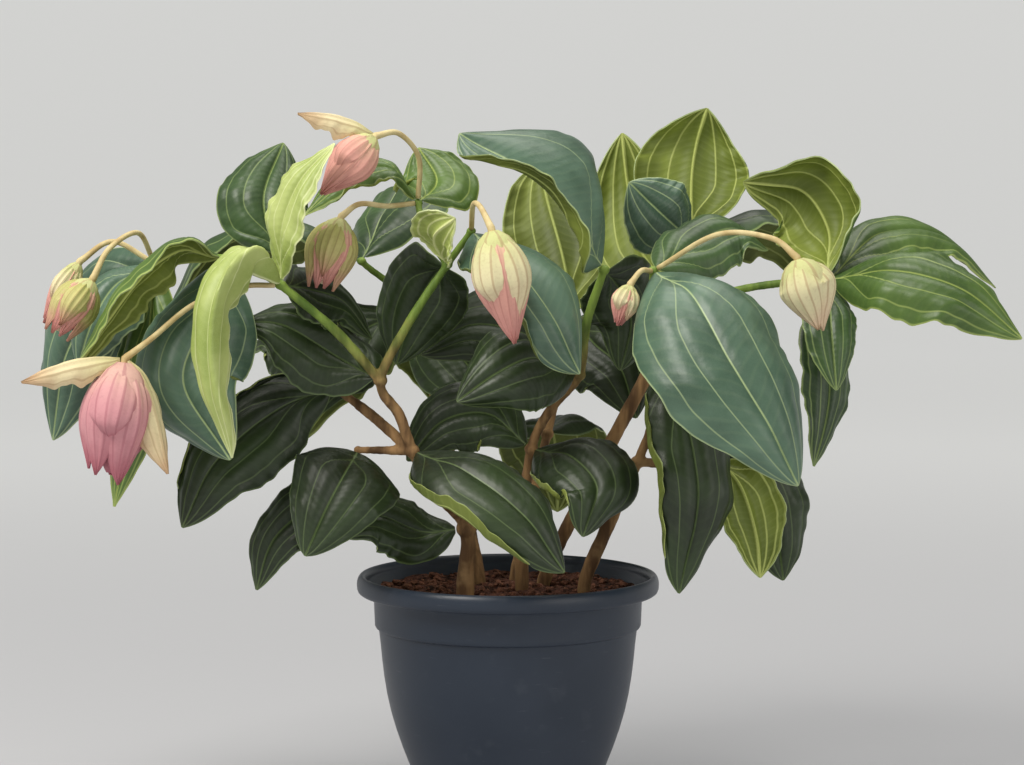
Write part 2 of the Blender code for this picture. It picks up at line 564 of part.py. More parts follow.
def make_stem(name, foot, foot_radius, runs):
    """A woody stem: round bars between swollen nodes, thinner the higher they go."""
    pieces = []
    swollen = set()
    for number, run in enumerate(runs):
        points = []
        radii = []
        for stop in run:
            if stop == "foot":
                points += stem_foot(foot)
                radii += [foot_radius * MM] * 3
            elif isinstance(stop, str):
                points.append(cm(NODES[stop][0]))
                radii.append(NODES[stop][1] * MM)
                swollen.add(stop)
            else:
                points.append(cm(stop))
                radii.append(radii[-1])
        pieces.append(tube(f"{name}_{number}", points, radii))
    for node in sorted(swollen):
        pieces.append(ball(f"{name}_{node}", cm(NODES[node][0]), node_radius(node)))
    for leaf_name, inner in INNER_LEAVES.get(name, {}).items():
        node, midrib, facing, width, lift, fall, wave, form = inner
        points = [cm(NODES[node][0]), *(cm(point) for point in midrib)]
        mesh = blade_sheet(leaf_name, points, facing, width * CM, lift, fall, wave * MM, form, HIDDEN_GRID)
        inner = new_object(leaf_name, mesh, CUTTERS)
        thicken(inner, LEAF_THICKNESS)
        pieces.append(as_mesh(inner))
    return union(name, pieces, "stem")


def make_leaf(name, node, midrib, facing, width, lift, fall, wave, form, lean=0.0):
    grid = GRID[form] if width >= BIG_LEAF and "back" not in name else HIDDEN_GRID
    points = leave_node(node, midrib)
    mesh = blade_sheet(name, points, facing, width * CM, lift, fall, wave * MM, form, grid, lean)
    leaf = new_object(name, mesh, PLANT, "lime" if "lime" in name else "leaf")
    thicken(leaf, LEAF_THICKNESS)
    mesh.shade_smooth()


def make_bud(name, node, stalk, points_to, length, width, bracts):
    """A bud on its stalk: a slim core, with cupped bracts round it that meet at the tip or spread."""
    line = through(leave_node(node, stalk), 2)
    axis = Vector(points_to).normalized()
    neck = line[-1]
    length, width = length * CM, width * CM
    stalk_line = [*line, neck + axis * 0.25 * length]
    pieces = [tube(name + "_stalk", stalk_line, [STALK_RADIUS] * len(stalk_line), 0)]
    core_line = [neck + axis * length * share for share in (0.03, 0.2, 0.42, 0.64, 0.82)]
    core_radii = [width * share for share in (0.16, 0.42, 0.47, 0.36, 0.14)]
    pieces.append(tube(name + "_core", core_line, core_radii))
    right = axis.cross(Vector((0, 1, 0.05))).normalized()
    for number, (turn, reach, breadth, spread) in enumerate(bracts):
        turn = math.radians(turn)
        out = right * math.cos(turn) + right.cross(axis) * math.sin(turn)
        tip = neck + axis * length * reach * (1 - 0.06 * spread) + out * spread * CM
        layer = 1 + 0.05 * (number % 2)
        midrib = [neck + axis * 0.03 * length + out * 0.08 * width,
                  neck + axis * 0.22 * length + out * 0.43 * width * layer,
                  neck + axis * 0.5 * length + out * (0.48 * width * layer + 0.22 * spread * CM),
                  tip]
        mesh = blade_sheet(f"{name}_{number}", midrib, out, breadth * width, *BRACT_BEND, "bract", BRACT_GRID)
        bract = new_object(f"{name}_{number}", mesh, CUTTERS)
        thicken(bract, BRACT_THICKNESS)
        pieces.append(as_mesh(bract))
    return union(name, pieces, "bloom" if bracts is OPEN_BLOOM else "bud")


for old in list(bpy.data.objects):
    bpy.data.objects.remove(old)
PLANT = bpy.data.collections.new("medinilla")
CUTTERS = bpy.data.collections.new("cutters")
bpy.context.scene.collection.children.link(PLANT)
bpy.context.scene.collection.children.link(CUTTERS)

make_pot()
make_soil()
for stem_name, (stem_place, stem_radius, stem_runs) in STEMS.items():
    make_stem(stem_name, stem_place, stem_radius, stem_runs)
for leaf_name, leaf in LEAVES.items():
    make_leaf(leaf_name, *leaf)
for bud_name, bud in BUDS.items():
    make_bud(bud_name, *bud)
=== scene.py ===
"""Dresses the potted medinilla: ribbed leaves, bracts, corky stems, peat and a satin pot round the frame.

Metres, +Z up. Places in the tables are in centimetres and are read through cm().
"""

import math
import random

import bpy
from mathutils import Matrix, Vector, noise


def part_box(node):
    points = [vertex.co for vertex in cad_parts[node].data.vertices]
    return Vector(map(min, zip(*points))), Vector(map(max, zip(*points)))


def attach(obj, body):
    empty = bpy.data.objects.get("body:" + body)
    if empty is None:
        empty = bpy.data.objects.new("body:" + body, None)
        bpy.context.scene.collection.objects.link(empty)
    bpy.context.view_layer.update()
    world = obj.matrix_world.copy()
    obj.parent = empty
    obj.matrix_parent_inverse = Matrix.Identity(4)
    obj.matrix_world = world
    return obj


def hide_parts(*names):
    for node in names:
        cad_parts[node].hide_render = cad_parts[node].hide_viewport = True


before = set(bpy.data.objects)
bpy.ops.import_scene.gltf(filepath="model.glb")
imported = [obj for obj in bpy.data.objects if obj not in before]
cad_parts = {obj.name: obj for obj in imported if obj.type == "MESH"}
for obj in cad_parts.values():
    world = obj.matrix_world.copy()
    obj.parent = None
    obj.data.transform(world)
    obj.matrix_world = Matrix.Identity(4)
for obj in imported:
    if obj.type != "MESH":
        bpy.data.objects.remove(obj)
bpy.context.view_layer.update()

bl_info = {
    "name": "Potted Medinilla",
    "version": (1, 0, 0),
    "blender": (4, 5, 0),
    "location": "View3D > Sidebar > Medinilla",
    "description": "Leaves, buds, stems, peat and pot of a flowering medinilla",
    "category": "Add Mesh",
}

# Units and shared sizes, in metres
CM = 0.01
MM = 0.001
GAP = 0.0003
POT_LOW, POT_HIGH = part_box("pot")
POT_HEIGHT = POT_HIGH[2]
RIM_RADIUS = 0.5 * (POT_HIGH[0] - POT_LOW[0])
RIM_INNER_RADIUS = 0.1215
BEAD = 0.008
SOIL_TOP = 0.196
NODE_SWELLING = 1.55
BALL_SWELLING = 1.5
BASE_HALF_WIDTH = 0.0035
TIP_HALF_WIDTH = 0.0012

# The pot's turned outline from the bead down: steps from the rim and from the collar, or radius and height
UNDER_BEAD = ((-0.0003, 0.004), (-0.0012, 0.0018), (-0.003, 0.0005), (-0.006, 0))
OVER_COLLAR = ((0.0022, -0.0004), (0.0009, -0.0014), (0, -0.004))
UNDER_COLLAR = ((-0.0008, 0.169), (-0.0009, 0.1668), (-0.0016, 0.1654), (-0.0029, 0.1648), (-0.0041, 0.1642))
POT_BODY = ((0.111, 0.163), (0.1097, 0.15), (0.1085, 0.137), (0.1067, 0.122), (0.1043, 0.107),
            (0.1010, 0.092), (0.0967, 0.077), (0.0912, 0.061), (0.0850, 0.045), (0.0793, 0.025),
            (0.0738, 0.006))
POT_FOOT = ((0.0725, 0.003), (0.0713, 0.0008), (0.0695, 0.0), (0.0655, 0.0), (0.0005, 0.0))

# The peat: its rings and sides, the fineness and height of its unevenness, and its loose crumbs
PEAT_RINGS = 46
PEAT_SIDES = 150
PEAT_UNEVENNESS = ((60, 0.0035), (190, 0.0024), (520, 0.0012))
CRUMB_COUNT = 420
CRUMB_SEED = 5

# Where leaves and stalks grow from: name, place in cm, and the stem's radius there in mm.
NODES = {
    "fork": ((-3.5, -4.5, 25.5), 6.0),
    "low_left": ((-8, -8, 32.5), 4.6),
    "left": ((-10.5, -10, 38.5), 4.0),
    "upper_left": ((-5, -9, 48), 3.2),
    "crown_left": ((-3, -9.5, 50.8), 2.8),
    "lime": ((-18.5, -12, 46.5), 3.4),
    "far_left": ((-23.5, -8.5, 48.5), 3.0),
    "end_left": ((-29.5, -5.5, 48), 2.6),
    "tall_left": ((-19.5, -4, 48.5), 2.6),
    "heart": ((-12.5, -6.6, 32.4), 2.8),
    "side_left": ((-14.5, -5.5, 37.5), 2.8),
    "bud_left": ((-7.5, -5, 53), 2.8),
    "low_centre": ((2, -2, 32), 4.2),
    "centre": ((6, -4, 38.5), 4.0),
    "top": ((8, -7, 47.5), 3.4),
    "low_right": ((11, -3, 31), 4.2),
    "right": ((12.5, -4.5, 39), 3.8),
    "front_right": ((12, -9, 47.5), 3.2),
    "hanging": ((17.5, -4, 31.5), 3.0),
    "back_right": ((15, 5, 44), 3.6),
    "crown_right": ((16, 5, 49.5), 3.0),
    "end_right": ((27.5, 1, 46.3), 3.0),
    "back_left": ((-9, 12, 43), 3.6),
    "high_left": ((-13, 10, 47.5), 3.0),
    "back": ((6, 16, 42), 3.6),
    "low_back": ((3.5, 11, 32), 4.0),
}

# Each stem: its foot on the soil, its radius in mm there, and the runs of nodes and bends in cm above it.
STEMS = {
    "stem_left": (
        (-3.6, -4), 7.5,
        (("foot", "fork", (-5.6, -6, 28.5), "low_left"),
         ("low_left", (-9, -9, 35.6), "left", (-8, -9.6, 43.5), "upper_left"),
         ("upper_left", "crown_left"),
         ("upper_left", (-7, -6.5, 51), "bud_left"),
         ("left", (-14, -11.2, 42.6), "lime"),
         ("lime", (-21.3, -9.6, 47.9), "far_left", (-26.6, -6.8, 48.9), "end_left"),
         ("lime", (-19.6, -7.4, 47.4), "tall_left"),
         ("low_left", "heart"),
         ("low_left", (-11.5, -6.4, 35.4), "side_left")),
    ),
    "stem_centre": (
        (1.2, -1), 6.0,
        (("foot", (1.2, -1.2, 25), "low_centre", (3.7, -3, 35.6), "centre", (6.6, -5.6, 43), "top"),),
    ),
    "stem_right": (
        (6.6, -2.5), 6.0,
        (("foot", (8.2, -2.8, 24.8), "low_right", (12.4, -3.6, 35), "right",
          (12, -6.4, 43.4), "front_right"),
         ("low_right", (14.2, -3.2, 30.9), "hanging")),
    ),
    "stem_back_right": (
        (3.4, 3), 6.0,
        (("foot", (8, 4.2, 30), (12.5, 4.8, 38.5), "back_right", "crown_right"),
         ("back_right", (21.5, 3.2, 45.6), "end_right")),
    ),
    "stem_back_left": (
        (-2.6, 3.6), 5.5,
        (("foot", (-5, 7.4, 30), "back_left", "high_left"),),
    ),
    "stem_back": (
        (0.8, 5.2), 5.5,
        (("foot", "low_back", (5, 14, 37.5), "back"),),
    ),
}

# Each leaf: the node it grows from, its midrib beyond that in cm, the way its upper side faces, its width
# in cm, the lift of its halves at the rib and their fall towards the edge in degrees, its edge waves in mm,
# its form, and for a leaf with one half wider than the other, its lean.
LEAVES = {
    "leaf_right_front": (
        "front_right", ((14.8, -15.5, 46), (17.6, -19.5, 41), (20.6, -21, 36), (23, -20.5, 31)),
        (0.2, -0.9, 0.4), 13.5, 8, -34, 5, "broad"),
    "leaf_centre_front": ("crown_left", ((0.5, -15.2, 48.4), (3.6, -17.2, 44.4), (5.8, -16.8, 39.6)),
        (0.5, -0.75, 0.45), 14.5, 4, -46, 3, "broad", -0.5),
    "leaf_top": ("top", ((6, -9, 51.2), (1.8, -9.8, 55.6), (-4, -8.5, 58.8)),
        (0.4, -0.7, 0.6), 16.5, 10, -36, 3, "broad", 0.7),
    "leaf_upright_right": ("crown_right", ((16.1, 7.6, 54.5), (16.6, 8.2, 58), (17.4, 7, 61)),
        (0.1, 0.98, -0.1), 10.5, 14, -30, 3, "broad"),
    "leaf_upright_behind": ("back_right", ((11.8, 9.4, 48.4), (10.8, 12.4, 53.6), (10.2, 13, 58.8)),
        (0.15, 0.95, -0.2), 9, 12, -24, 3, "broad"),
    "leaf_arched_right": ("end_right", ((27.8, 4, 50.6), (25.4, 5, 54), (20.4, 4.6, 54.6)),
        (-0.1, 0.75, 0.65), 9.5, 10, -30, 4, "broad"),
    "leaf_far_right_top": ("end_right", ((32.4, 5.8, 50.2), (38.2, 8.4, 49.8), (43.2, 9.4, 45.2)),
        (0.15, -0.35, 0.9), 8, 14, -30, 3, "broad"),
    "leaf_edge_right": ("end_right", ((27.4, -0.8, 41.5), (27.4, -2, 36), (26, -2.8, 30.6)),
        (0.5, -0.85, 0.1), 5.5, 8, -24, 3, "narrow"),
    "leaf_far_right_low": ("end_right", ((32.5, -4.2, 47.4), (38, -6.4, 45.9), (43, -6, 41.7)),
        (0.1, -0.75, 0.65), 8.5, 10, -34, 5, "broad"),
    "leaf_small_right": ("end_right", ((27.3, -3.6, 43), (27.6, -5.2, 37.3)),
        (0.2, -0.97, 0.1), 5, 6, -20, 2, "broad"),
    "leaf_lime_hanging": (
        "lime", ((-21, -16.5, 49.7), (-23.5, -19.5, 45.5), (-23.6, -19.8, 39), (-22, -18.5, 33)),
        (-0.75, -0.6, 0.2), 8.5, 16, -40, 4, "narrow"),
    "leaf_lime_upright": ("lime", ((-18.3, -13.4, 51.4), (-16.8, -13.8, 55), (-14, -13.2, 58)),
        (-0.7, -0.65, 0.2), 5, 16, -20, 3, "narrow"),
    "leaf_tall_left": ("tall_left", ((-20.6, -2.6, 53.5), (-19.2, 1, 58)),
        (0.1, -0.95, 0.3), 8.5, 8, -30, 3, "broad"),
    "leaf_olive_left": ("far_left", ((-27, -11.2, 49.4), (-31, -13.4, 46), (-35, -14, 39.8)),
        (0.45, 0.35, 0.82), 7.5, 12, -30, 3, "broad"),
    "leaf_blue_left": ("end_left", ((-32.6, -7.4, 46.4), (-34.4, -8.6, 43.4), (-35.6, -8.6, 39.4)),
        (-0.35, -0.8, 0.45), 7.5, 8, -30, 3, "broad"),
    "leaf_end_left": ("end_left", ((-34, -3.4, 45.5), (-37.6, -2.4, 40), (-39, -0.4, 32.6)),
        (-0.35, -0.9, 0.25), 9.5, 8, -34, 3, "broad"),
    "leaf_grey_left": ("far_left", ((-24.8, -11.2, 43.8), (-26.4, -13.2, 38.5), (-22.6, -13.4, 32.3)),
        (-0.1, -0.97, 0.2), 10.5, 8, -34, 3, "broad"),
    "leaf_low_left": ("side_left", ((-19, -5.4, 36), (-24.4, -6.6, 31.6), (-27.2, -7.6, 26)),
        (-0.1, -0.85, 0.5), 9, 8, -30, 3, "broad"),
    "leaf_under_flower": ("end_left", ((-30, -8.2, 41), (-31.4, -9.6, 34), (-32.6, -9.6, 28)),
        (-0.3, -0.95, 0.1), 5.5, 8, -20, 2, "narrow"),
    "leaf_shadow_left": ("left", ((-13.8, -7.8, 40.2), (-18.5, -8, 43), (-22, -8, 43.2)),
        (0, -0.8, 0.6), 8, 10, -34, 3, "broad"),
    "leaf_heart": ("heart", ((-13.4, -10.6, 31), (-15, -12.2, 28), (-16.6, -12.6, 24.3)),
        (-0.1, -0.96, 0.25), 10, 6, -26, 3, "heart"),
    "leaf_low_far_left": ("heart", ((-16, -7.2, 28.4), (-19.6, -7.6, 25), (-21, -8, 20.8)),
        (-0.2, -0.92, 0.3), 5.5, 8, -20, 3, "broad"),
    "leaf_above_soil": ("fork", ((-7.2, -5.2, 25.4), (-11, -7, 27), (-14.6, -8.2, 25.6)),
        (0, -0.8, 0.6), 6.5, 8, -26, 3, "broad"),
    "leaf_front_low": ("low_left", ((-3.4, -13.4, 31.5), (1.4, -16.4, 28.2), (4.6, -16.4, 23.5)),
        (0.4, -0.75, 0.55), 11.5, 6, -34, 3, "broad"),
    "leaf_low_centre": ("low_centre", ((5.2, -6.6, 32), (7.4, -9.6, 29.6), (6.2, -10.4, 25.6)),
        (0.15, -0.92, 0.35), 9.5, 6, -30, 3, "broad"),
    "leaf_oval": ("centre", ((2.4, -8.6, 40.4), (-1, -10.6, 39.2), (-4.2, -10.4, 36.8)),
        (0, -0.92, 0.4), 9, 6, -34, 2, "broad"),
    "leaf_hanging_right": ("right", ((14.4, -8.6, 36.5), (15.8, -10.6, 29), (14.2, -10, 20.8)),
        (0.35, -0.93, 0.05), 9.5, 12, -40, 6, "broad"),
    "leaf_hanging_olive": ("hanging", ((19.6, -6.2, 29), (20.8, -6.4, 25), (21.2, -6.4, 21.6)),
        (-0.3, 0.93, 0.1), 6, 12, -30, 4, "broad"),
    "leaf_hanging_dark": ("hanging", ((21, -3.4, 30), (22.8, -3.2, 25.5), (23.5, -2.6, 20.8)),
        (0.15, -0.97, 0.15), 8, 10, -30, 5, "broad"),
    "leaf_behind_bud": ("bud_left", ((-6, -2.4, 55), (-7.6, -0.4, 57.6)),
        (0.1, -0.92, 0.35), 7.5, 8, -24, 3, "broad"),
    "leaf_arch_left": ("bud_left", ((-9.8, -5.4, 56), (-13.4, -5.8, 55.4), (-17, -6, 52)),
        (-0.1, -0.5, 0.85), 5.5, 12, -30, 3, "narrow"),
    "leaf_lime_cup": ("upper_left", ((-5.9, -12, 50.4), (-4.2, -14.4, 52)),
        (0.35, -0.6, 0.7), 5, 20, -30, 2, "broad"),
    "leaf_behind_right_front": ("front_right", ((15.6, -6.2, 49.8), (19, -4, 51), (22, -2.6, 49)),
        (0.1, -0.6, 0.8), 7.5, 8, -30, 3, "broad"),
    "leaf_blue_behind": ("crown_right", ((13.6, 2.4, 51.6), (10.4, 1.8, 54.6)),
        (-0.2, -0.85, 0.45), 7.5, 8, -24, 2, "broad"),
    "leaf_back_wide_left": ("high_left", ((-18.5, 10.6, 50.4), (-25.5, 11.4, 49), (-30.5, 11.4, 42.6)),
        (-0.1, 0.35, 0.9), 11, 10, -34, 4, "broad"),
    "leaf_back_high_left": ("high_left", ((-11.4, 14.6, 51.6), (-9.6, 19.5, 54), (-8.6, 24, 50.5)),
        (0, 0.5, 0.85), 11, 10, -34, 4, "broad"),
    "leaf_back_low_left": ("back_left", ((-14, 16, 41.6), (-18.4, 19, 36.6), (-20, 19.6, 30)),
        (-0.4, 0.8, 0.4), 11.5, 8, -34, 4, "broad"),
    "leaf_back_middle": ("back_left", ((-6.6, 17.5, 43), (-5, 22.4, 38.6), (-4.4, 23.8, 31.6)),
        (0, 0.93, 0.35), 12, 8, -34, 4, "broad"),
    "leaf_back_right": ("back", ((11, 20, 43.4), (16.4, 22.6, 41), (20.6, 22.8, 34.5)),
        (0.25, 0.75, 0.6), 12, 8, -34, 4, "broad"),
    "leaf_back_high": ("back", ((5, 18, 47.4), (3.6, 21, 52.6), (3, 23.6, 56)),
        (0, 0.9, -0.3), 10.5, 10, -28, 3, "broad"),
    "leaf_back_low": ("low_back", ((3.8, 16.4, 33), (4.4, 21, 29.6), (4.6, 22.4, 23.6)),
        (0, 0.93, 0.35), 11, 8, -30, 3, "broad"),
    "leaf_back_far_right": ("crown_right", ((20.6, 10.4, 51.4), (26, 14.6, 50), (29.4, 17.6, 44)),
        (0.2, 0.5, 0.85), 11, 10, -34, 4, "broad"),
    "leaf_back_side_right": ("back_right", ((19, 8.6, 41), (22.6, 10.6, 35.5), (24, 11, 28.8)),
        (0.45, 0.8, 0.3), 10.5, 8, -34, 4, "broad"),
    "leaf_inner_left": ("side_left", ((-16, -1, 40.6), (-19.6, 2.6, 42), (-23, 4.4, 39.6)),
        (-0.1, -0.6, 0.8), 9, 8, -30, 3, "broad"),
}

# Leaves deep inside the plant, listed under the stem that they grow from, written as those above.
INNER_LEAVES = {
    "stem_left": {
        "inner_a": ("upper_left", ((-6.4, -6, 46.6), (-8.2, -4.6, 43.4), (-9.4, -4.2, 39.4)),
            (0, -0.95, 0.3), 8, 8, -26, 3, "broad"),
        "inner_b": ("lime", ((-16.4, -8.4, 46), (-13.6, -5.4, 44.8), (-11.4, -4.8, 41.6)),
            (0.1, -0.85, 0.5), 6, 8, -26, 3, "broad"),
    },
    "stem_centre": {
        "inner_c": ("centre", ((2, -1.6, 41.6), (-3, -0.6, 42.6), (-7.6, -0.4, 40)),
            (0, -0.9, 0.4), 9, 6, -26, 2, "broad"),
        "inner_d": ("low_centre", ((-1.6, -1.4, 35), (-5.6, -1.4, 34.4), (-8.6, -2, 31)),
            (0, -0.9, 0.4), 7, 6, -26, 2, "broad"),
        "inner_e": ("top", ((9.6, -3.2, 45.4), (10.6, -1.4, 42.6), (9.6, -0.8, 38.6)),
            (0.1, -0.95, 0.2), 7.5, 8, -26, 3, "broad"),
    },
    "stem_back_right": {
        "inner_f": ("back_right", ((17.4, 1.6, 41.6), (20, 0.6, 37), (20.6, 0.4, 31.6)),
            (0.2, -0.95, 0.2), 8.5, 8, -30, 3, "broad"),
    },
    "stem_back_left": {
        "inner_h": ("back_left", ((-13, 9.4, 41.4), (-16.6, 8, 38), (-18.4, 7.4, 33.4)),
            (-0.1, -0.9, 0.4), 9, 8, -26, 3, "broad"),
        "inner_i": ("back_left", ((-5.4, 9, 40.4), (-2.6, 7.4, 37), (-1.6, 7, 32.6)),
            (0, -0.92, 0.35), 9, 8, -26, 3, "broad"),
    },
    "stem_back": {
        "inner_j": ("back", ((7.6, 11.8, 40.2), (10, 9.8, 38), (11.4, 9.2, 33.6)),
            (0, -0.92, 0.35), 8.5, 8, -26, 3, "broad"),
    },
}

# Each bud: its node, its stalk beyond that in cm, the way it points, length and width in cm, and its bracts,
# as (turn in degrees about the bud, length and width as shares of the bud's, how far the tip spreads in cm,
# and how far out the bract lies in the layers).
CLOSED_BUD = ((238, 0.74, 1.45, 0.5, 1.13), (322, 0.86, 1.35, 0.7, 1.09), (90, 0.80, 1.40, 0.5, 1.10),
              (20, 0.98, 1.05, 0.3, 1.0), (155, 0.95, 1.05, 0.3, 1.0), (278, 1.0, 1.10, 0.1, 1.0))
LOOSE_BUD = ((0, 1.0, 1.0, 1.1, 1.10), (90, 0.90, 1.1, 1.2, 1.08), (180, 1.02, 1.0, 1.0, 1.10),
             (262, 0.84, 1.2, 0.9, 1.14), (225, 0.98, 0.85, 0.5, 1.0), (315, 0.96, 0.85, 0.5, 1.0),
             (45, 0.94, 0.85, 0.5, 1.0), (135, 0.92, 0.85, 0.5, 1.0))
OPEN_BLOOM = ((262, 0.70, 1.25, 1.1, 1.22), (15, 0.86, 1.20, 1.3, 1.12), (135, 0.84, 1.20, 1.2, 1.12),
              (222, 1.0, 1.05, 1.6, 1.02), (312, 1.03, 1.05, 1.1, 1.04), (182, 0.98, 0.95, 1.9, 1.02),
              (60, 1.0, 1.0, 1.3, 1.0), (100, 0.97, 1.0, 1.1, 1.0), (345, 1.16, 0.85, 4.8, 1.0),
              (195, 0.50, 0.70, 8.0, 1.0))
RIBBED_BUD = ((250, 0.97, 1.45, 0.3, 1.10), (10, 1.0, 1.40, 0.3, 1.08), (130, 0.95, 1.40, 0.3, 1.08))
CAP_BUD = CLOSED_BUD + ((188, 0.75, 0.95, 5.9, 1.0),)
BUDS = {
    "bloom_front_left": ("lime",
        ((-21.6, -13.4, 46.4), (-25.4, -14, 45), (-28.6, -15.6, 42.4), (-30.7, -16.4, 40.8)),
        (-0.12, -0.05, -0.99), 10.5, 5.4, OPEN_BLOOM),
    "bud_top_left": ("bud_left", ((-7.4, -6.4, 56.8), (-9, -8.2, 58.8), (-10.8, -9.6, 58.6)),
        (-0.66, -0.25, -0.7), 6.8, 3.6, CAP_BUD),
    "bud_tall_left": ("bud_left", ((-10, -7.2, 52.8), (-12.2, -8.6, 53), (-13.7, -9, 52)),
        (-0.28, -0.1, -0.95), 6.6, 3.6, LOOSE_BUD),
    "bud_centre": ("crown_left", ((-2.8, -13, 53), (-2.2, -17.4, 53), (-1.3, -19.8, 51.4)),
        (0.2, -0.05, -0.98), 9.4, 4.6, CLOSED_BUD),
    "bud_small_centre": ("front_right", ((10.9, -11.2, 47.6), (10, -12.4, 46.6)),
        (-0.3, -0.1, -0.95), 3.6, 2.2, CLOSED_BUD),
    "bud_right": ("front_right", ((17, -12.4, 50.6), (21.2, -14.4, 50.4), (23.2, -15.6, 48.9)),
        (0.3, -0.05, -0.95), 6.4, 4.4, RIBBED_BUD),
    "bud_left_end": ("end_left", ((-30.6, -8, 50.6), (-32.6, -10.8, 49.4), (-33.8, -12, 47)),
        (-0.55, -0.1, -0.83), 5.8, 3.2, LOOSE_BUD),
    "bud_far_left": ("end_left", ((-33, -5.8, 49.8), (-35.6, -6.6, 48.2)),
        (-0.5, -0.1, -0.86), 6, 2.2, CLOSED_BUD),
}

# How the bracts of a bud are made
BRACT_GRID = (40, 24)
BRACT_RIBS = 7.0
WIDE_SPREAD = 3
OUTER_LAYER = 1.02
CORE_STEPS = 14

# The peak of a blade's outline lies where its run to this power is a half, and the second number rounds it.
OUTLINE = {"broad": (0.86, 0.72), "heart": (0.62, 0.66), "narrow": (0.8, 0.8), "bract": (0.85, 0.72)}

# How leaves bend: waves and small unevenness in metres, and the grid of leaves narrower than 8 cm
HEART_LOBE = 0.030
WAVES_PER_LEAF = 3.0
WAVE_SHIFT = 1.7
PANEL_BULGE = 0.0022
UNEVENNESS = 0.0012
EDGE_LIFT = 0.0018
FRILL = 0.0009
SMALL_LEAF = 8
SMALL_GRID = (48, 28)

# The two pairs of long side veins: how far out they run, and between which shares they part from the rib.
VEINS = ((0.40, 0.06, 0.42), (0.76, 0.0, 0.28))

# Margins that roll up and show the underside, or roll back where the turn is negative: the side (1 is the
# left half of a leaf that hangs facing the viewer), the share of the half width where the roll starts,
# and how far it turns in degrees.
NO_ROLL = (1, 1, 0)
ROLLS = {
    "leaf_front_low": (1, 0.62, 125), "leaf_low_centre": (1, 0.70, 120),
    "leaf_hanging_dark": (1, 0.58, 130), "leaf_top": (-1, 0.12, 105), "leaf_centre_front": (1, 0.60, 110),
    "leaf_hanging_right": (1, 0.66, 120), "leaf_lime_hanging": (-1, 0.05, -105),
    "leaf_low_left": (1, 0.72, 110), "leaf_arch_left": (-1, 0.72, 100),
}
ROLL_STEPS = 10

# Upper sides: darker and lighter green, veins, roughness, and the underside and edge that go with them
UPPER_SIDES = {
    # A darker copy of the leaf green: painted shade for the leaves deep inside, low down and at the back
    "leaf_dark_painted_shade": ("#1C2614", "#2E401F", "#66794A", 0.44, "leaf_under", "leaf_edge"),
    "leaf_middle": ("#283B22", "#425E30", "#8DA062", 0.42, "leaf_under", "leaf_edge"),
    # A lighter, bluer green: partly the leaves' own tone, partly painted sheen on the upper leaves
    "leaf_blue": ("#37503E", "#5C7863", "#AEC08C", 0.40, "leaf_under", "leaf_edge"),
    "leaf_fresh": ("#3A5420", "#5A7634", "#A6B664", 0.42, "leaf_under_bright", "leaf_edge"),
    "leaf_lime": ("#8DA04B", "#BAC67A", "#DDE3AC", 0.5, "leaf_under_lime", "leaf_edge_lime"),
}
UNDERSIDES = {
    "leaf_under": ("#505C24", "#7F8B3C", "#ADB86A"),
    "leaf_under_bright": ("#606E28", "#8E9C42", "#BAC470"),
    "leaf_under_lime": ("#8FA04C", "#AFBC6A", "#D5DB9C"),
}
EDGES = {"leaf_edge": "#A9B87C", "leaf_edge_lime": "#D9E0A8"}

# Which leaves don't take the darker green that carries painted shade
COLOURED_LEAVES = {
    "leaf_lime": ("leaf_lime_hanging", "leaf_lime_upright", "leaf_lime_cup"),
    # The upper leaves, whose green carries painted sheen in part
    "leaf_blue": ("leaf_grey_left", "leaf_blue_left", "leaf_end_left", "leaf_blue_behind", "leaf_top",
                  "leaf_centre_front", "leaf_right_front"),
    "leaf_middle": ("leaf_tall_left", "leaf_small_right", "leaf_behind_right_front", "leaf_edge_right",
                    "leaf_back_high", "leaf_back_high_left", "leaf_back_far_right", "leaf_back_wide_left"),
    "leaf_fresh": ("leaf_upright_right", "leaf_upright_behind", "leaf_arched_right", "leaf_olive_left",
                   "leaf_arch_left", "leaf_hanging_olive", "leaf_under_flower", "leaf_behind_bud",
                   "leaf_far_right_low", "leaf_far_right_top"),
}
COLOUR_OF = {name: colour for colour, names in COLOURED_LEAVES.items() for name in names}

# Bracts: colours of the foot, middle, tip and ribs, and how many ribs are drawn
BRACT_COLOURS = {
    "bract_pink": ("#D9AFA2", "#D2949A", "#B56C77", "#A4616C", 6.0),
    "bract_cream": ("#C3C687", "#E0D7AC", "#D9BFA0", "#A07A5C", 7.0),
    "bract_outer": ("#CFC894", "#DDCFA6", "#C9A985", "#A9906A", 5.0),
    "bract_blush": ("#D9B597", "#DDA294", "#CB8E86", "#AC7068", 7.0),
    "bract_olive": ("#AEB062", "#C3BC7C", "#C99583", "#8E7A48", 7.0),
}

SOCKETS = {"base_color": "Base Color", "roughness": "Roughness", "specular": "Specular IOR Level",
           "emission": "Emission Color", "emission_strength": "Emission Strength", "normal": "Normal"}

# The paper sweep in metres, the lights (place, size, share of the key's power) and the camera
SWEEP_FLAT = 5.6
SWEEP_CURVE = 1.5
SWEEP_RISE = 0.4
LIGHTS = {
    "key": ((-1.2, -1.1, 2.1), 1.2, 1.0),
    "fill": ((1.9, -1.9, 1.0), 1.6, 0.26),
    "top": ((0.3, 0.4, 2.4), 1.6, 0.5),
}
LIGHT_AIM = (0, 0, 0.38)
LIGHT_COLOUR = (1.0, 0.965, 0.91)
SKY_COLOUR = (0.92, 0.915, 0.90, 1)
SKY_STRENGTH = 0.27
CAMERA_PLACE = (0.0035, -2.6, 0.589)
CAMERA_PITCH = 4.7
CAMERA_LENS = 107.05
SENSOR_WIDTH = 36.0


# Units and colours
def cm(place):
    """A place in metres from one in centimetres."""
    return Vector(place) * CM


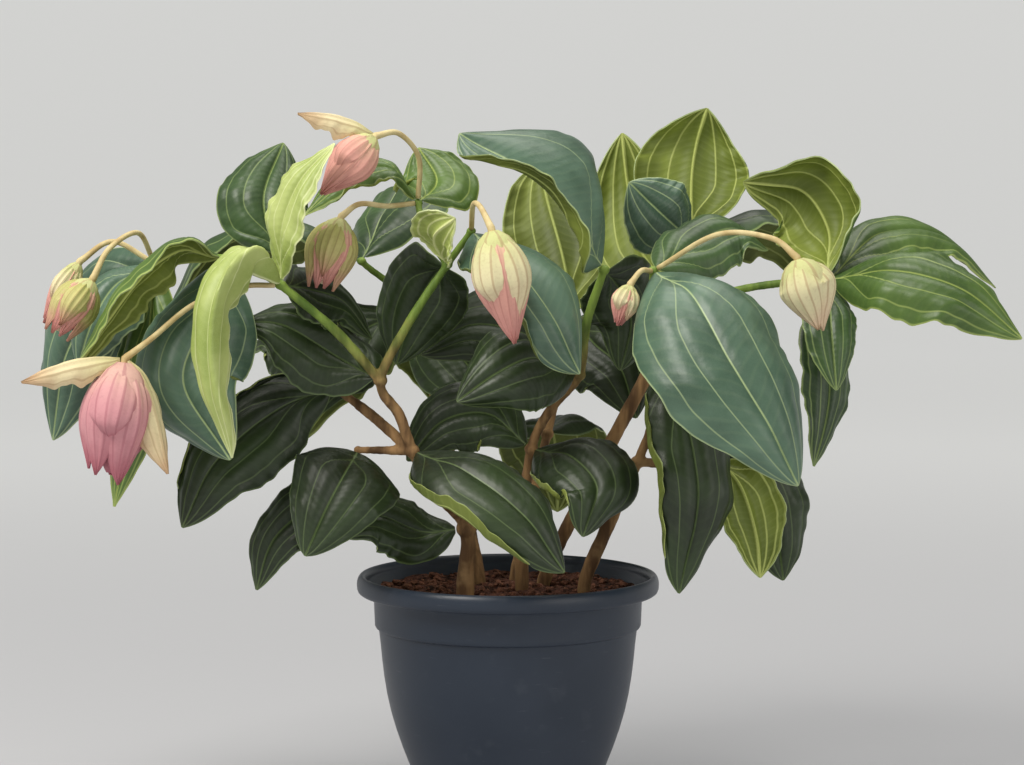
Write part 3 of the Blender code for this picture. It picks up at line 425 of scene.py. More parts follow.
def rgb(code):
    """A linear colour from a hex code."""
    values = [int(code[i:i + 2], 16) / 255 for i in (1, 3, 5)]
    return tuple(v / 12.92 if v <= 0.04045 else ((v + 0.055) / 1.055) ** 2.4 for v in values)


# Shaders
class Value:
    """A number in a shader: arithmetic on it adds the Math nodes."""

    def __init__(self, paint, socket):
        self.paint = paint
        self.socket = socket

    def maths(self, operation, *others):
        return self.paint.node("ShaderNodeMath", {"operation": operation}, dict(enumerate((self, *others))))

    def __add__(self, other):
        return self.maths("ADD", other)

    def __sub__(self, other):
        return self.maths("SUBTRACT", other)

    def __mul__(self, other):
        return self.maths("MULTIPLY", other)

    def __rsub__(self, other):
        return (self * -1.0).maths("ADD", other)

    def __abs__(self):
        return self.maths("ABSOLUTE")

    __radd__ = __add__

    def most(self, other):
        return self.maths("MAXIMUM", other)

    def step(self, low, high):
        """0 below low, 1 above high, and smooth between."""
        settings = {"interpolation_type": "SMOOTHSTEP"}
        return self.paint.node("ShaderNodeMapRange", settings, {0: self, 1: low, 2: high})


class Paint:
    """A material with a Principled shader, and the nodes that feed it."""

    def __init__(self, name, **constants):
        self.material = bpy.data.materials.new(name)
        self.material.use_nodes = True
        self.tree = self.material.node_tree
        self.shader = self.tree.nodes["Principled BSDF"]
        for key, value in constants.items():
            self.shader.inputs[SOCKETS[key]].default_value = value

    def node(self, kind, settings, sockets, out=0):
        """Adds a node: its settings, then the values or links of its sockets by number or name."""
        made = self.tree.nodes.new(kind)
        for key, value in settings.items():
            setattr(made, key, value)
        for key, value in sockets.items():
            if isinstance(value, Value):
                self.tree.links.new(value.socket, made.inputs[key])
            else:
                made.inputs[key].default_value = value
        return Value(self, made.outputs[out])

    def mix(self, factor, low, high):
        """Mixes two colours, each a tuple or a link."""
        low, high = ((*colour, 1.0) if isinstance(colour, tuple) else colour for colour in (low, high))
        return self.node("ShaderNodeMix", {"data_type": "RGBA"}, {0: factor, 6: low, 7: high}, out=2)

    def noise(self, scale, detail=4.0, where=None):
        """Soft noise on object coordinates, or on a vector."""
        sockets = {0: where or self.place(), "Scale": scale, "Detail": detail}
        return self.node("ShaderNodeTexNoise", {}, sockets)

    def place(self):
        return self.node("ShaderNodeTexCoord", {}, {}, out=3)

    def stretched(self, scale):
        return self.node("ShaderNodeMapping", {}, {0: self.place(), "Scale": scale})

    def part(self, vector, number):
        """One of a vector's three numbers."""
        return self.node("ShaderNodeSeparateXYZ", {}, {0: vector}, out=number)

    def across(self):
        """The run along a blade, and the distance from its rib, from -1 to 1."""
        uv = self.node("ShaderNodeUVMap", {"uv_map": "UVMap"}, {})
        return self.part(uv, 0), self.part(uv, 1) * 2.0 - 1.0

    def attribute(self, name):
        return self.node("ShaderNodeAttribute", {"attribute_name": name}, {}, out=2)

    def set(self, **links):
        for key, value in links.items():
            self.tree.links.new(value.socket, self.shader.inputs[SOCKETS[key]])

    def bump(self, height, distance, strength=1.0):
        sockets = {"Strength": strength, "Distance": distance, "Height": height}
        self.set(normal=self.node("ShaderNodeBump", {}, sockets))


# Materials
def vein_paint(paint, width):
    """The masks of a leaf's long veins, its rib, its edge and its fine cross veins."""
    run, side = paint.across()
    half = paint.attribute("half_width")
    out = abs(side)
    rib = 1.0 - (out * half).step(width * 0.35, width * 1.2)
    veins = rib * 0.0
    for place, start, end in VEINS:
        near = abs(out - run.step(start, end) * place) * half
        veins = veins.most(1.0 - near.step(width * 0.2, width * 0.85))
    edge = 1.0 - ((1.0 - out) * half).step(width * 0.5, width * 1.6)
    ladder = (run * 130.0 + out * half * 420.0 + paint.noise(26.0, 2.0) * 9.0).maths("SINE")
    return rib, veins, edge, ladder


def leaf_upper(name, dark, light, vein, roughness):
    """The leathery upper side: mottled green, pale sunk veins, a pale edge and fine cross veins."""
    paint = Paint(name, specular=0.5)
    rib, veins, edge, ladder = vein_paint(paint, 0.0010)
    cloud = paint.noise(14.0, 5.0).step(0.3, 0.72)
    green = paint.mix(cloud, rgb(dark), rgb(light))
    fine = paint.noise(900.0, 2.0).step(0.35, 0.7)
    green = paint.mix(fine * 0.16, green, rgb(light))
    between = ladder.step(0.3, 1.0) * (1.0 - veins)
    green = paint.mix(between * 0.03, green, rgb(vein))
    green = paint.mix((rib * 0.8).most(veins * 0.5).most(edge * 0.8), green, rgb(vein))
    gloss = paint.noise(60.0, 3.0) * 0.12 + (roughness - 0.06) + veins * 0.08
    paint.set(base_color=green, roughness=gloss)
    paint.bump(ladder * 0.1 + paint.noise(1400.0, 2.0) * 0.1 + paint.noise(120.0, 3.0) * 0.9, 0.0007, 0.6)
    return paint.material


def leaf_under(name, dark, light, vein):
    """The duller underside: olive, with raised pale veins."""
    paint = Paint(name, specular=0.35)
    rib, veins, edge, ladder = vein_paint(paint, 0.0013)
    cloud = paint.noise(11.0, 4.0).step(0.3, 0.75)
    olive = paint.mix(cloud, rgb(dark), rgb(light))
    between = ladder.step(0.4, 1.0) * (1.0 - veins)
    olive = paint.mix(between * 0.06, olive, rgb(vein))
    out = abs(paint.across()[1])
    # Painted shade: a darker band in the hollow between the rib and the first vein
    shade = (1.0 - (abs(out - 0.2) * 5.0).step(0.0, 1.0)) * 0.25
    olive = paint.mix(shade, olive, rgb(dark))
    olive = paint.mix(rib.most(veins * 0.75).most(edge * 0.6), olive, rgb(vein))
    paint.set(base_color=olive, roughness=paint.noise(80.0, 3.0) * 0.15 + 0.45)
    paint.bump(rib.most(veins) * 0.8 + ladder * 0.15 + paint.noise(900.0, 2.0) * 0.1, 0.0007, 0.6)
    return paint.material


def leaf_edge(name, colour):
    paint = Paint(name, roughness=0.5)
    paint.set(base_color=paint.mix(paint.noise(70.0, 3.0).step(0.3, 0.8), rgb(colour), rgb("#8FA06A")))
    return paint.material


def bract_paint(name, base, middle, tip, vein, ribs=5.0):
    """A bract: a wash of colour from its foot to its tip, with fine long ribs."""
    paint = Paint(name, roughness=0.6, specular=0.3)
    run, side = paint.across()
    wave = (side * math.pi * ribs + paint.noise(30.0, 2.0) * 1.2).maths("COSINE")
    cloud = paint.noise(38.0, 4.0)
    wash = paint.mix((run + cloud * 0.3 - 0.15).step(0.05, 0.55), rgb(base), rgb(middle))
    wash = paint.mix((run + cloud * 0.5 - 0.25).step(0.55, 0.98), wash, rgb(tip))
    wash = paint.mix(wave.step(0.62, 1.0) * 0.5, wash, rgb(vein))
    wash = paint.mix(paint.noise(420.0, 3.0).step(0.45, 0.8) * 0.2, wash, rgb(vein))
    paint.set(base_color=wash)
    paint.bump(wave * 0.4 + paint.noise(500.0, 3.0) * 0.25, 0.0006, 0.6)
    return paint.material


def stem_paint():
    """Corky brown bark low down that turns to smooth green near the top."""
    paint = Paint("stem_bark", specular=0.3)
    grain = paint.noise(90.0, 6.0, paint.stretched((1.0, 1.0, 0.16)))
    patch = paint.noise(34.0, 5.0)
    bark = paint.mix(grain.step(0.35, 0.68), rgb("#5C432B"), rgb("#AA855A"))
    bark = paint.mix(patch.step(0.52, 0.7) * 0.5, bark, rgb("#BC9A6C"))
    green = paint.mix(grain.step(0.3, 0.7), rgb("#55702A"), rgb("#86A045"))
    height = paint.part(paint.place(), 2) + patch * 0.1 - 0.05
    paint.set(base_color=paint.mix(height.step(0.36, 0.45), bark, green))
    paint.set(roughness=0.8 - height.step(0.36, 0.45) * 0.25)
    paint.bump(grain + patch * 0.5, 0.0012, 0.8)
    return paint.material


def stalk_paint():
    paint = Paint("bud_stalk", roughness=0.6)
    cloud = paint.noise(60.0, 4.0).step(0.3, 0.7)
    paint.set(base_color=paint.mix(cloud, rgb("#B9A06A"), rgb("#D9C995")))
    paint.bump(paint.noise(300.0, 4.0), 0.0004, 0.6)
    return paint.material


def pot_paint(colour):
    """Slate-blue moulded plastic: a satin skin with faint clouding, dust and fine scuffs."""
    paint = Paint("pot_plastic", specular=0.45)
    cloud = paint.noise(7.0, 5.0).step(0.3, 0.75)
    skin = paint.mix(cloud * 0.35, colour, rgb("#414A58"))
    dust = paint.noise(45.0, 8.0).step(0.58, 0.8)
    skin = paint.mix(dust * 0.12, skin, rgb("#6C7078"))
    scuff = paint.noise(60.0, 4.0, paint.stretched((1.0, 1.0, 9.0))).step(0.66, 0.78)
    skin = paint.mix(scuff * 0.1, skin, rgb("#8A8E94"))
    paint.set(base_color=skin, roughness=cloud * 0.1 + dust * 0.12 + 0.36)
    paint.bump(paint.noise(1500.0, 2.0) * 0.4 + paint.noise(25.0, 3.0) * 0.6, 0.0003, 0.5)
    return paint.material


def peat_paint(name, dark, middle, light):
    paint = Paint(name, specular=0.2)
    clod = paint.noise(160.0, 8.0)
    peat = paint.mix(clod.step(0.34, 0.6), rgb(dark), rgb(middle))
    peat = paint.mix(paint.noise(520.0, 4.0).step(0.56, 0.72) * 0.7, peat, rgb(light))
    paint.set(base_color=peat, roughness=1.0 - clod.step(0.3, 0.8) * 0.12)
    paint.bump(clod + paint.noise(700.0, 4.0) * 0.5, 0.0022, 1.0)
    return paint.material


def stage_paint(colour):
    """Pale paper that glows a little more the farther it lies from the middle."""
    paint = Paint("studio_paper", specular=0.15, emission_strength=1.0)
    length = paint.node("ShaderNodeVectorMath", {"operation": "LENGTH"}, {0: paint.place()}, out=1)
    glow = paint.mix(length.step(0.2, 3.4), (0.13, 0.13, 0.135), (0.46, 0.46, 0.445))
    paint.set(emission=glow)
    paint.set(base_color=paint.mix(paint.noise(3.0, 4.0) * 0.1, colour, rgb("#98999A")))
    paint.set(roughness=0.85 + paint.noise(40.0, 3.0) * 0.1)
    return paint.material


# Lines and outlines
def through(points, steps):
    """Points on a smooth curve through all of the given ones, with as many steps between each two."""
    ends = [2 * points[0] - points[1], *points, 2 * points[-1] - points[-2]]
    found = []
    for a, b, c, d in zip(ends, ends[1:], ends[2:], ends[3:]):
        for step in range(steps):
            t = step / steps
            found.append(b + 0.5 * t * (c - a + t * (2 * a - 5 * b + 4 * c - d + t * (3 * (b - c) + d - a))))
    return [*found, points[-1]]


def at_share(line, share):
    """The place at a share of the line's length, and the smoothed direction there."""
    lengths = [(b - a).length for a, b in zip(line, line[1:])]
    wanted = share * sum(lengths)
    index = 0
    while index < len(lengths) - 1 and wanted > lengths[index]:
        wanted -= lengths[index]
        index += 1
    part = min(wanted / lengths[index], 1)
    here = line[index].lerp(line[index + 1], part)
    low = line[max(index - 1, 0)].lerp(line[index], part)
    high = line[min(index + 1, len(line) - 1)].lerp(line[min(index + 2, len(line) - 1)], part)
    return here, (high - low).normalized()


def half_width(share, form, width):
    peak, roundness = OUTLINE[form]
    bow = max(math.sin(math.pi * share ** peak), 0) ** roundness
    least = BASE_HALF_WIDTH + (TIP_HALF_WIDTH - BASE_HALF_WIDTH) * share
    return max(0.5 * width * bow, least)


def leave_node(node, points):
    """The midrib's or stalk's points in metres, starting just clear of the swollen node."""
    centre = cm(NODES[node][0])
    first = cm(points[0])
    radius = NODES[node][1] * MM * NODE_SWELLING
    return [centre + (first - centre).normalized() * (radius + GAP), *(cm(point) for point in points)]


def smooth_step(value, low, high):
    part = min(max((value - low) / (high - low), 0), 1)
    return part * part * (3 - 2 * part)


def panel(out, share, depth):
    """The quilting between the long veins: each panel swells, and the veins lie sunk."""
    stops = [0.0, *(place * smooth_step(share, start, end) for place, start, end in VEINS), 1.0]
    for low, high in zip(stops, stops[1:]):
        if low <= out <= high and high > low:
            wide = min((high - low) / 0.3, 1)
            return depth * wide * math.sin(math.pi * (out - low) / (high - low)) ** 0.6
    return 0


def rolled(out, start, turn, angle, bend=0.14):
    """Where a share of the half width comes to lie, along and above the blade, past the start of a roll."""
    along = min(out, start) * math.cos(angle)
    above = min(out, start) * math.sin(angle)
    past = max(out - start, 0)
    for step in range(ROLL_STEPS):
        done = past * (step + 0.5) / ROLL_STEPS
        now = angle + turn * min(done / bend, 1)
        along += past / ROLL_STEPS * math.cos(now)
        above += past / ROLL_STEPS * math.sin(now)
    return along, above


# Making and shaping meshes
def select_only(made):
    bpy.ops.object.select_all(action="DESELECT")
    made.select_set(True)
    bpy.context.view_layer.objects.active = made


def apply_all(made):
    select_only(made)
    for modifier in list(made.modifiers):
        bpy.ops.object.modifier_apply(modifier=modifier.name)


def smooth(made, angle):
    """Shades smooth, but keeps edges sharper than the angle in degrees."""
    select_only(made)
    bpy.ops.object.shade_smooth_by_angle(angle=math.radians(angle))


def add_shape(name, add, **settings):
    """Adds one of the plain shapes with nothing else selected."""
    bpy.ops.object.select_all(action="DESELECT")
    add(**settings)
    made = bpy.context.object
    made.name = name
    return made


def add_grid(name, long_steps, cross_steps):
    return add_shape(name, bpy.ops.mesh.primitive_grid_add, x_subdivisions=long_steps,
                     y_subdivisions=cross_steps, size=1)


def add_blade(name, midrib, facing, width, bend, form, grid, depth, ribs=0.0, lean=0.0, roll=NO_ROLL):
    """A grid bent along the midrib into a blade, with its quilting, edge waves and small unevenness."""
    lift, fall, wave = bend
    roll_side, roll_start, roll_turn = roll
    made = add_grid(name, *grid)
    made.data.name = name
    line = through(midrib, 24)
    across = at_share(line, 0.5)[1].cross(Vector(facing)).normalized()
    frames = {}
    halves = []
    for vertex in made.data.vertices:
        share = min(max(vertex.co.x + 0.5, 0), 1)
        side = -2 * vertex.co.y
        key = round(share, 5)
        if key not in frames:
            place, along = at_share(line, share)
            sideways = (across - across.dot(along) * along).normalized()
            frames[key] = (place, along, sideways, sideways.cross(along), half_width(share, form, width))
        place, along, sideways, up, half = frames[key]
        bow = math.sin(math.pi * share)
        hand = math.copysign(1, side)
        half *= 1 + lean * hand * bow
        out = abs(side)
        phase = 2 * math.pi * WAVES_PER_LEAF * share + WAVE_SHIFT * side + 3 * width / CM
        swing = math.sin(phase) + 0.35 * math.sin(2.3 * phase + 1)
        start = 1
        if side * roll_side > 0:
            start = 1 - (1 - roll_start) * math.sin(math.pi * min(share * 1.04, 1)) ** 0.6
        angle = math.radians(lift + fall * out)
        along_blade, above = rolled(out, start, math.radians(roll_turn), angle)
        rise = half * above + wave * swing * out ** 2 * bow
        if form == "bract":
            rise += depth * math.cos(side * math.pi * ribs) * (1 - out ** 4)
        else:
            fade = min(half / 0.03, 1)
            rise += min(half / 0.04, 1) * PANEL_BULGE * math.sin(math.pi * out)
            rise += fade * (panel(out, share, depth) - depth)
            rise += fade * UNEVENNESS * noise.noise(place * 30 + sideways * half * side * 30)
            rise += fade * EDGE_LIFT * smooth_step(out, 0.86, 1.0)
            rise += FRILL * out ** 4 * math.sin(3.7 * phase + 2) * bow
        back = HEART_LOBE * 4 * share * (1 - share) ** 3 * out if form == "heart" else 0
        vertex.co = place + sideways * (half * along_blade * hand) + up * rise - along * back
        halves.append(half)
    store = made.data.attributes.new("half_width", "FLOAT", "POINT")
    store.data.foreach_set("value", halves)
    return made


def thicken(made, thickness, finishes):
    """Gives a blade its thickness, with finishes for the upper side, the underside and the edge."""
    for finish in finishes:
        made.data.materials.append(finish)
    wall = made.modifiers.new("Thickness", "SOLIDIFY")
    wall.thickness = thickness
    wall.offset = -1
    wall.material_offset = min(1, len(finishes) - 1)
    wall.material_offset_rim = len(finishes) - 1
    apply_all(made)
    smooth(made, 55)


def add_tube(name, points, radii, resolution=6):
    """A round bar along the points, as a mesh with welded ends."""
    curve = bpy.data.curves.new(name, "CURVE")
    curve.dimensions = "3D"
    curve.bevel_depth = 1.0
    curve.bevel_resolution = resolution
    curve.use_fill_caps = True
    spline = curve.splines.new("POLY")
    spline.points.add(len(points) - 1)
    for spot, point, radius in zip(spline.points, points, radii):
        spot.co = (*point, 1)
        spot.radius = radius
    made = bpy.data.objects.new(name, curve)
    bpy.context.collection.objects.link(made)
    select_only(made)
    bpy.ops.object.convert(target="MESH")
    made = bpy.context.object
    bpy.ops.object.mode_set(mode="EDIT")
    bpy.ops.mesh.select_all(action="SELECT")
    bpy.ops.mesh.remove_doubles(threshold=1e-6)
    bpy.ops.object.mode_set(mode="OBJECT")
    return made


def join(pieces, name):
    bpy.ops.object.select_all(action="DESELECT")
    for piece in pieces:
        piece.select_set(True)
    bpy.context.view_layer.objects.active = pieces[0]
    bpy.ops.object.join()
    pieces[0].name = name
    pieces[0].data.name = name
    return pieces[0]


def place_piece(made, node, slot):
    """Sets a piece on the root, in place of a node's solid."""
    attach(made, "root")
    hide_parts(node)


def turn_shape(name, profile, segments):
    """A turned shape: a circle, its rings extruded and scaled one after another, and both ends filled."""
    radius, height = profile[0]
    made = add_shape(name, bpy.ops.mesh.primitive_circle_add, vertices=segments, radius=radius,
                     location=(0, 0, height), fill_type="NGON")
    bpy.ops.object.transform_apply(location=True)
    bpy.ops.object.mode_set(mode="EDIT")
    bpy.ops.mesh.select_all(action="SELECT")
    bpy.ops.mesh.flip_normals()
    bpy.ops.mesh.select_mode(type="EDGE")
    bpy.ops.mesh.select_all(action="DESELECT")
    bpy.ops.mesh.select_non_manifold()
    for next_radius, next_height in profile[1:]:
        bpy.ops.mesh.extrude_region_move(TRANSFORM_OT_translate={"value": (0, 0, next_height - height)})
        share = next_radius / radius
        bpy.ops.transform.resize(value=(share, share, 1), center_override=(0, 0, next_height))
        radius, height = next_radius, next_height
    bpy.ops.mesh.edge_face_add()
    bpy.ops.mesh.select_all(action="SELECT")
    bpy.ops.mesh.normals_make_consistent(inside=False)
    bpy.ops.object.mode_set(mode="OBJECT")
    return made


def crumb_pose(draw, reach):
    """Where a crumb lies on the peat, and how it is turned and squashed."""
    turn = draw.uniform(0, 2 * math.pi)
    radius = reach * math.sqrt(draw.random())
    wide = draw.uniform(0.0010, 0.0034) * (1.5 if draw.random() > 0.93 else 1)
    spot = Vector((radius * math.cos(turn), radius * math.sin(turn), SOIL_TOP + 0.0005 + 0.3 * wide))
    turned = Matrix.Rotation(draw.uniform(0, 6), 4, "Z") @ Matrix.Rotation(draw.uniform(-0.7, 0.7), 4, "X")
    squashed = Matrix.Diagonal((wide * draw.uniform(0.7, 1.5), wide, 0.7 * wide, 1))
    return Matrix.Translation(spot) @ turned @ squashed


def add_crumbs(reach, count):
    """Loose crumbs on the peat: one small ball repeated, and each copy made uneven and dropped by itself."""
    loose = add_shape("peat_crumbs", bpy.ops.mesh.primitive_ico_sphere_add, subdivisions=2, radius=1)
    size = len(loose.data.vertices)
    copies = loose.modifiers.new("Copies", "ARRAY")
    copies.count = count
    apply_all(loose)
    draw = random.Random(CRUMB_SEED)
    shape = [vertex.co.copy() for vertex in loose.data.vertices[:size]]
    for number in range(count):
        pose = crumb_pose(draw, reach)
        for vertex, corner in zip(loose.data.vertices[number * size:(number + 1) * size], shape):
            rough = 1 + 0.45 * noise.noise(corner * 1.6 + Vector((number, 0, 0)))
            vertex.co = pose @ (corner * rough)
    return loose


# Parts of stems and buds
def stem_bar(name, foot, foot_radius, run):
    """A bar along one run of a stem, with slightly uneven bark."""
    points = []
    radii = []
    for stop in run:
        if stop == "foot":
            heights = (SOIL_TOP - 0.02, SOIL_TOP + 0.012)
            points += [Vector((foot[0] * CM, foot[1] * CM, height)) for height in heights]
            radii += [foot_radius * MM] * 2
        elif isinstance(stop, str):
            points.append(cm(NODES[stop][0]))
            radii.append(NODES[stop][1] * MM)
        else:
            points.append(cm(stop))
            radii.append(radii[-1])
    fine = through(points, 8)
    wide = [value.x for value in through([Vector((radius, 0, 0)) for radius in radii], 8)]
    wide = [radius * (1 + 0.1 * noise.noise(spot * 90)) for radius, spot in zip(wide, fine)]
    return add_tube(name, fine, wide)


def stem_ball(node):
    """A node's swelling."""
    place, radius = NODES[node]
    ball = add_shape(node + "_ball", bpy.ops.mesh.primitive_uv_sphere_add, segments=24, ring_count=16,
                     radius=radius * MM * BALL_SWELLING)
    ball.data.transform(Matrix.Translation(cm(place)) @ Matrix.Diagonal((1, 1, 0.85, 1)))
    return ball


def bract_way(neck, axis, out, length, width, bract):
    """A bract's midrib: thrown out where it spreads wide, and else bowed round the bud."""
    _, reach, _, spread, layer = bract
    drop = axis * length * reach * (1 - 0.06 * spread)
    if spread > WIDE_SPREAD:
        shares = (0.03, 0.3, 0.65, 1)
        return [neck + drop * share ** 1.6 + out * spread * CM * share ** 0.85 for share in shares]
    return [neck + axis * 0.03 * length + out * 0.08 * width,
            neck + axis * 0.22 * length + out * 0.43 * width * layer,
            neck + axis * 0.5 * length + out * (0.48 * width * layer + 0.22 * spread * CM),
            neck + drop + out * spread * CM]


def bract_colour(bracts, spread, layer):
    """A bract's colour, by its bud and by how far out it lies."""
    if spread > WIDE_SPREAD:
        return "bract_outer"
    if bracts is OPEN_BLOOM:
        return "bract_pink"
    if bracts is CAP_BUD or layer <= OUTER_LAYER:
        return "bract_blush"
    return "bract_olive" if bracts is LOOSE_BUD else "bract_cream"


# Settings
def length_setting(name, description, default):
    return bpy.props.FloatProperty(name=name, description=description, default=default, unit="LENGTH")


def colour_setting(name, description, code):
    return bpy.props.FloatVectorProperty(
        name=name, description=description, default=rgb(code), subtype="COLOR")


def count_setting(name, description, default, least):
    return bpy.props.IntProperty(name=name, description=description, default=default, min=least)


class PotProperties(bpy.types.PropertyGroup):
    """The pot's sizes and colour."""

    collar_radius: length_setting("Collar Radius", "Radius of the band under the rim", 0.1155)
    wall: length_setting("Wall", "Thickness of the pot's wall", 0.0035)
    segments: count_setting("Segments", "Sides of the turned pot", 160, 12)
    colour: colour_setting("Colour", "Colour of the plastic", "#222C3A")


class LeafProperties(bpy.types.PropertyGroup):
    """How thick, how deeply quilted and how finely divided the leaves are."""

    thickness: length_setting("Thickness", "Thickness of a leaf", 0.0011)
    quilting: length_setting("Quilting", "How deep the veins lie between the panels", 0.0024)
    long_steps: count_setting("Steps Along", "Faces along a leaf", 64, 8)
    cross_steps: count_setting("Steps Across", "Faces across a leaf", 36, 6)


class BudProperties(bpy.types.PropertyGroup):
    """How thick the bracts are and how wide the stalks."""

    thickness: length_setting("Thickness", "Thickness of a bract", 0.0009)
    rib: length_setting("Rib", "How far the ribs of a bract stand out", 0.0005)
    stalk_radius: length_setting("Stalk Radius", "Radius of a bud's stalk", 0.0022)


class StemProperties(bpy.types.PropertyGroup):
    """How finely the stems are modelled."""

    voxel: length_setting("Voxel", "Size of the cells that blend bars and nodes", 0.0012)


class StageProperties(bpy.types.PropertyGroup):
    """The studio's paper and light."""

    paper: colour_setting("Paper", "Colour of the floor and wall", "#A9AAAC")
    key_power: bpy.props.FloatProperty(
        name="Key Power", description="Strength of the large soft light", default=52.0, subtype="POWER")


# Operators, one for each kind of piece
class MEDINILLA_OT_pot(bpy.types.Operator):
    """Turns the pot: bead rim, collar, tapered body and flat foot."""

    bl_idname = "medinilla.pot"
    bl_label = "Pot"

    def execute(self, context):
        sizes = context.scene.medinilla_pot
        collar = sizes.collar_radius
        wall = sizes.wall
        bead_wide = 0.5 * (RIM_RADIUS - RIM_INNER_RADIUS)
        bead_middle = RIM_RADIUS - bead_wide
        under = POT_HEIGHT - 2 * BEAD
        profile = [(0.0005, 0.004), (0.0725 - wall, 0.004)]
        profile += [(radius - wall, height) for radius, height in reversed(POT_BODY[:-1])]
        profile += [(collar - wall, 0.190)]
        for step in range(13):
            turn = math.radians(180 - 180 * step / 12)
            spread = math.cos(turn)
            profile.append((bead_middle + bead_wide * spread, POT_HEIGHT - BEAD + BEAD * math.sin(turn)))
        profile += [(RIM_RADIUS + radius, under + height) for radius, height in UNDER_BEAD]
        profile += [(collar + radius, under + height) for radius, height in OVER_COLLAR]
        profile += [(collar + radius, height) for radius, height in UNDER_COLLAR]
        profile += [*POT_BODY[1:], *POT_FOOT]
        pot = turn_shape("pot_turned", profile, sizes.segments)
        pot.data.materials.append(pot_paint(tuple(sizes.colour)))
        smooth(pot, 40)
        place_piece(pot, "pot", "pot")
        return {"FINISHED"}


class MEDINILLA_OT_peat(bpy.types.Operator):
    """Fills the pot with crumbly peat and scatters loose crumbs on it."""

    bl_idname = "medinilla.peat"
    bl_label = "Peat"

    def execute(self, context):
        wall = context.scene.medinilla_pot.collar_radius - 0.0042
        profile = [(0.0005, 0.16), (wall - 0.003, 0.16), (wall - 0.0005, 0.19)]
        profile += [((wall + 0.0024) * (1 - ring / PEAT_RINGS), SOIL_TOP) for ring in range(PEAT_RINGS)]
        peat = turn_shape("peat_bed", profile, PEAT_SIDES)
        for vertex in peat.data.vertices:
            if vertex.co.z > SOIL_TOP - 0.001:
                rough = [noise.noise(vertex.co * fine) * height for fine, height in PEAT_UNEVENNESS]
                vertex.co.z += sum(rough)
        peat.data.materials.append(peat_paint("peat", "#23150F", "#5E3D32", "#8C6350"))
        loose = add_crumbs(wall - 0.004, CRUMB_COUNT)
        loose.data.materials.append(peat_paint("crumb", "#3A241A", "#7A5140", "#A67C62"))
        place_piece(peat, "soil", "peat")
        place_piece(loose, "soil", "peat")
        return {"FINISHED"}


class MEDINILLA_OT_stems(bpy.types.Operator):
    """Blends bars and swollen nodes into woody stems, one piece for each trunk."""

    bl_idname = "medinilla.stems"
    bl_label = "Stems"

    def execute(self, context):
        finish = stem_paint()
        for name, (foot, foot_radius, runs) in STEMS.items():
            pieces = [stem_bar(f"{name}_bar_{number}", foot, foot_radius, run)
                      for number, run in enumerate(runs)]
            nodes = {stop for run in runs for stop in run if isinstance(stop, str)} - {"foot"}
            pieces += [stem_ball(node) for node in sorted(nodes)]
            stem = join(pieces, name + "_bark")
            cells = stem.modifiers.new("Blend", "REMESH")
            cells.mode = "VOXEL"
            cells.voxel_size = context.scene.medinilla_stems.voxel
            soften = stem.modifiers.new("Soften", "SMOOTH")
            soften.factor = 0.5
            soften.iterations = 5
            apply_all(stem)
            outward = [vertex.normal.copy() for vertex in stem.data.vertices]
            for vertex, normal in zip(stem.data.vertices, outward):
                rough = noise.noise(Vector((vertex.co.x * 300, vertex.co.y * 300, vertex.co.z * 60)))
                vertex.co += normal * rough * 0.0004 * (1 if vertex.co.z < 0.42 else 0.3)
            stem.data.materials.clear()
            stem.data.materials.append(finish)
            bpy.ops.object.shade_smooth()
            place_piece(stem, name, "stem")
        return {"FINISHED"}


class MEDINILLA_OT_leaves(bpy.types.Operator):
    """Shapes each leaf from a grid along its midrib, in place of its plain solid."""

    bl_idname = "medinilla.leaves"
    bl_label = "Leaves"

    def execute(self, context):
        look = context.scene.medinilla_leaf
        unders = {name: leaf_under(name, *colours) for name, colours in UNDERSIDES.items()}
        edges = {name: leaf_edge(name, colour) for name, colour in EDGES.items()}
        finishes = {}
        for name, (*colours, under, edge) in UPPER_SIDES.items():
            finishes[name] = [leaf_upper(name, *colours), unders[under], edges[edge]]
        rows = [(name, name, leaf) for name, leaf in LEAVES.items()]
        for stem, group in INNER_LEAVES.items():
            rows += [(name, stem, leaf) for name, leaf in group.items()]
        for name, node, (grows_from, midrib, facing, width, lift, fall, wave, form, *lean) in rows:
            grid = (look.long_steps, look.cross_steps) if width >= SMALL_LEAF else SMALL_GRID
            blade = add_blade(name + "_blade", leave_node(grows_from, midrib), facing, width * CM,
                              (lift, fall, wave * MM), form, grid, look.quilting,
                              lean=sum(lean), roll=ROLLS.get(name, NO_ROLL))
            # Leaves not listed take the darker green with painted shade
            colour = COLOUR_OF.get(name, "leaf_dark_painted_shade")
            thicken(blade, look.thickness, finishes[colour])
            place_piece(blade, node, "young_leaf" if colour == "leaf_lime" else "leaf")
        return {"FINISHED"}


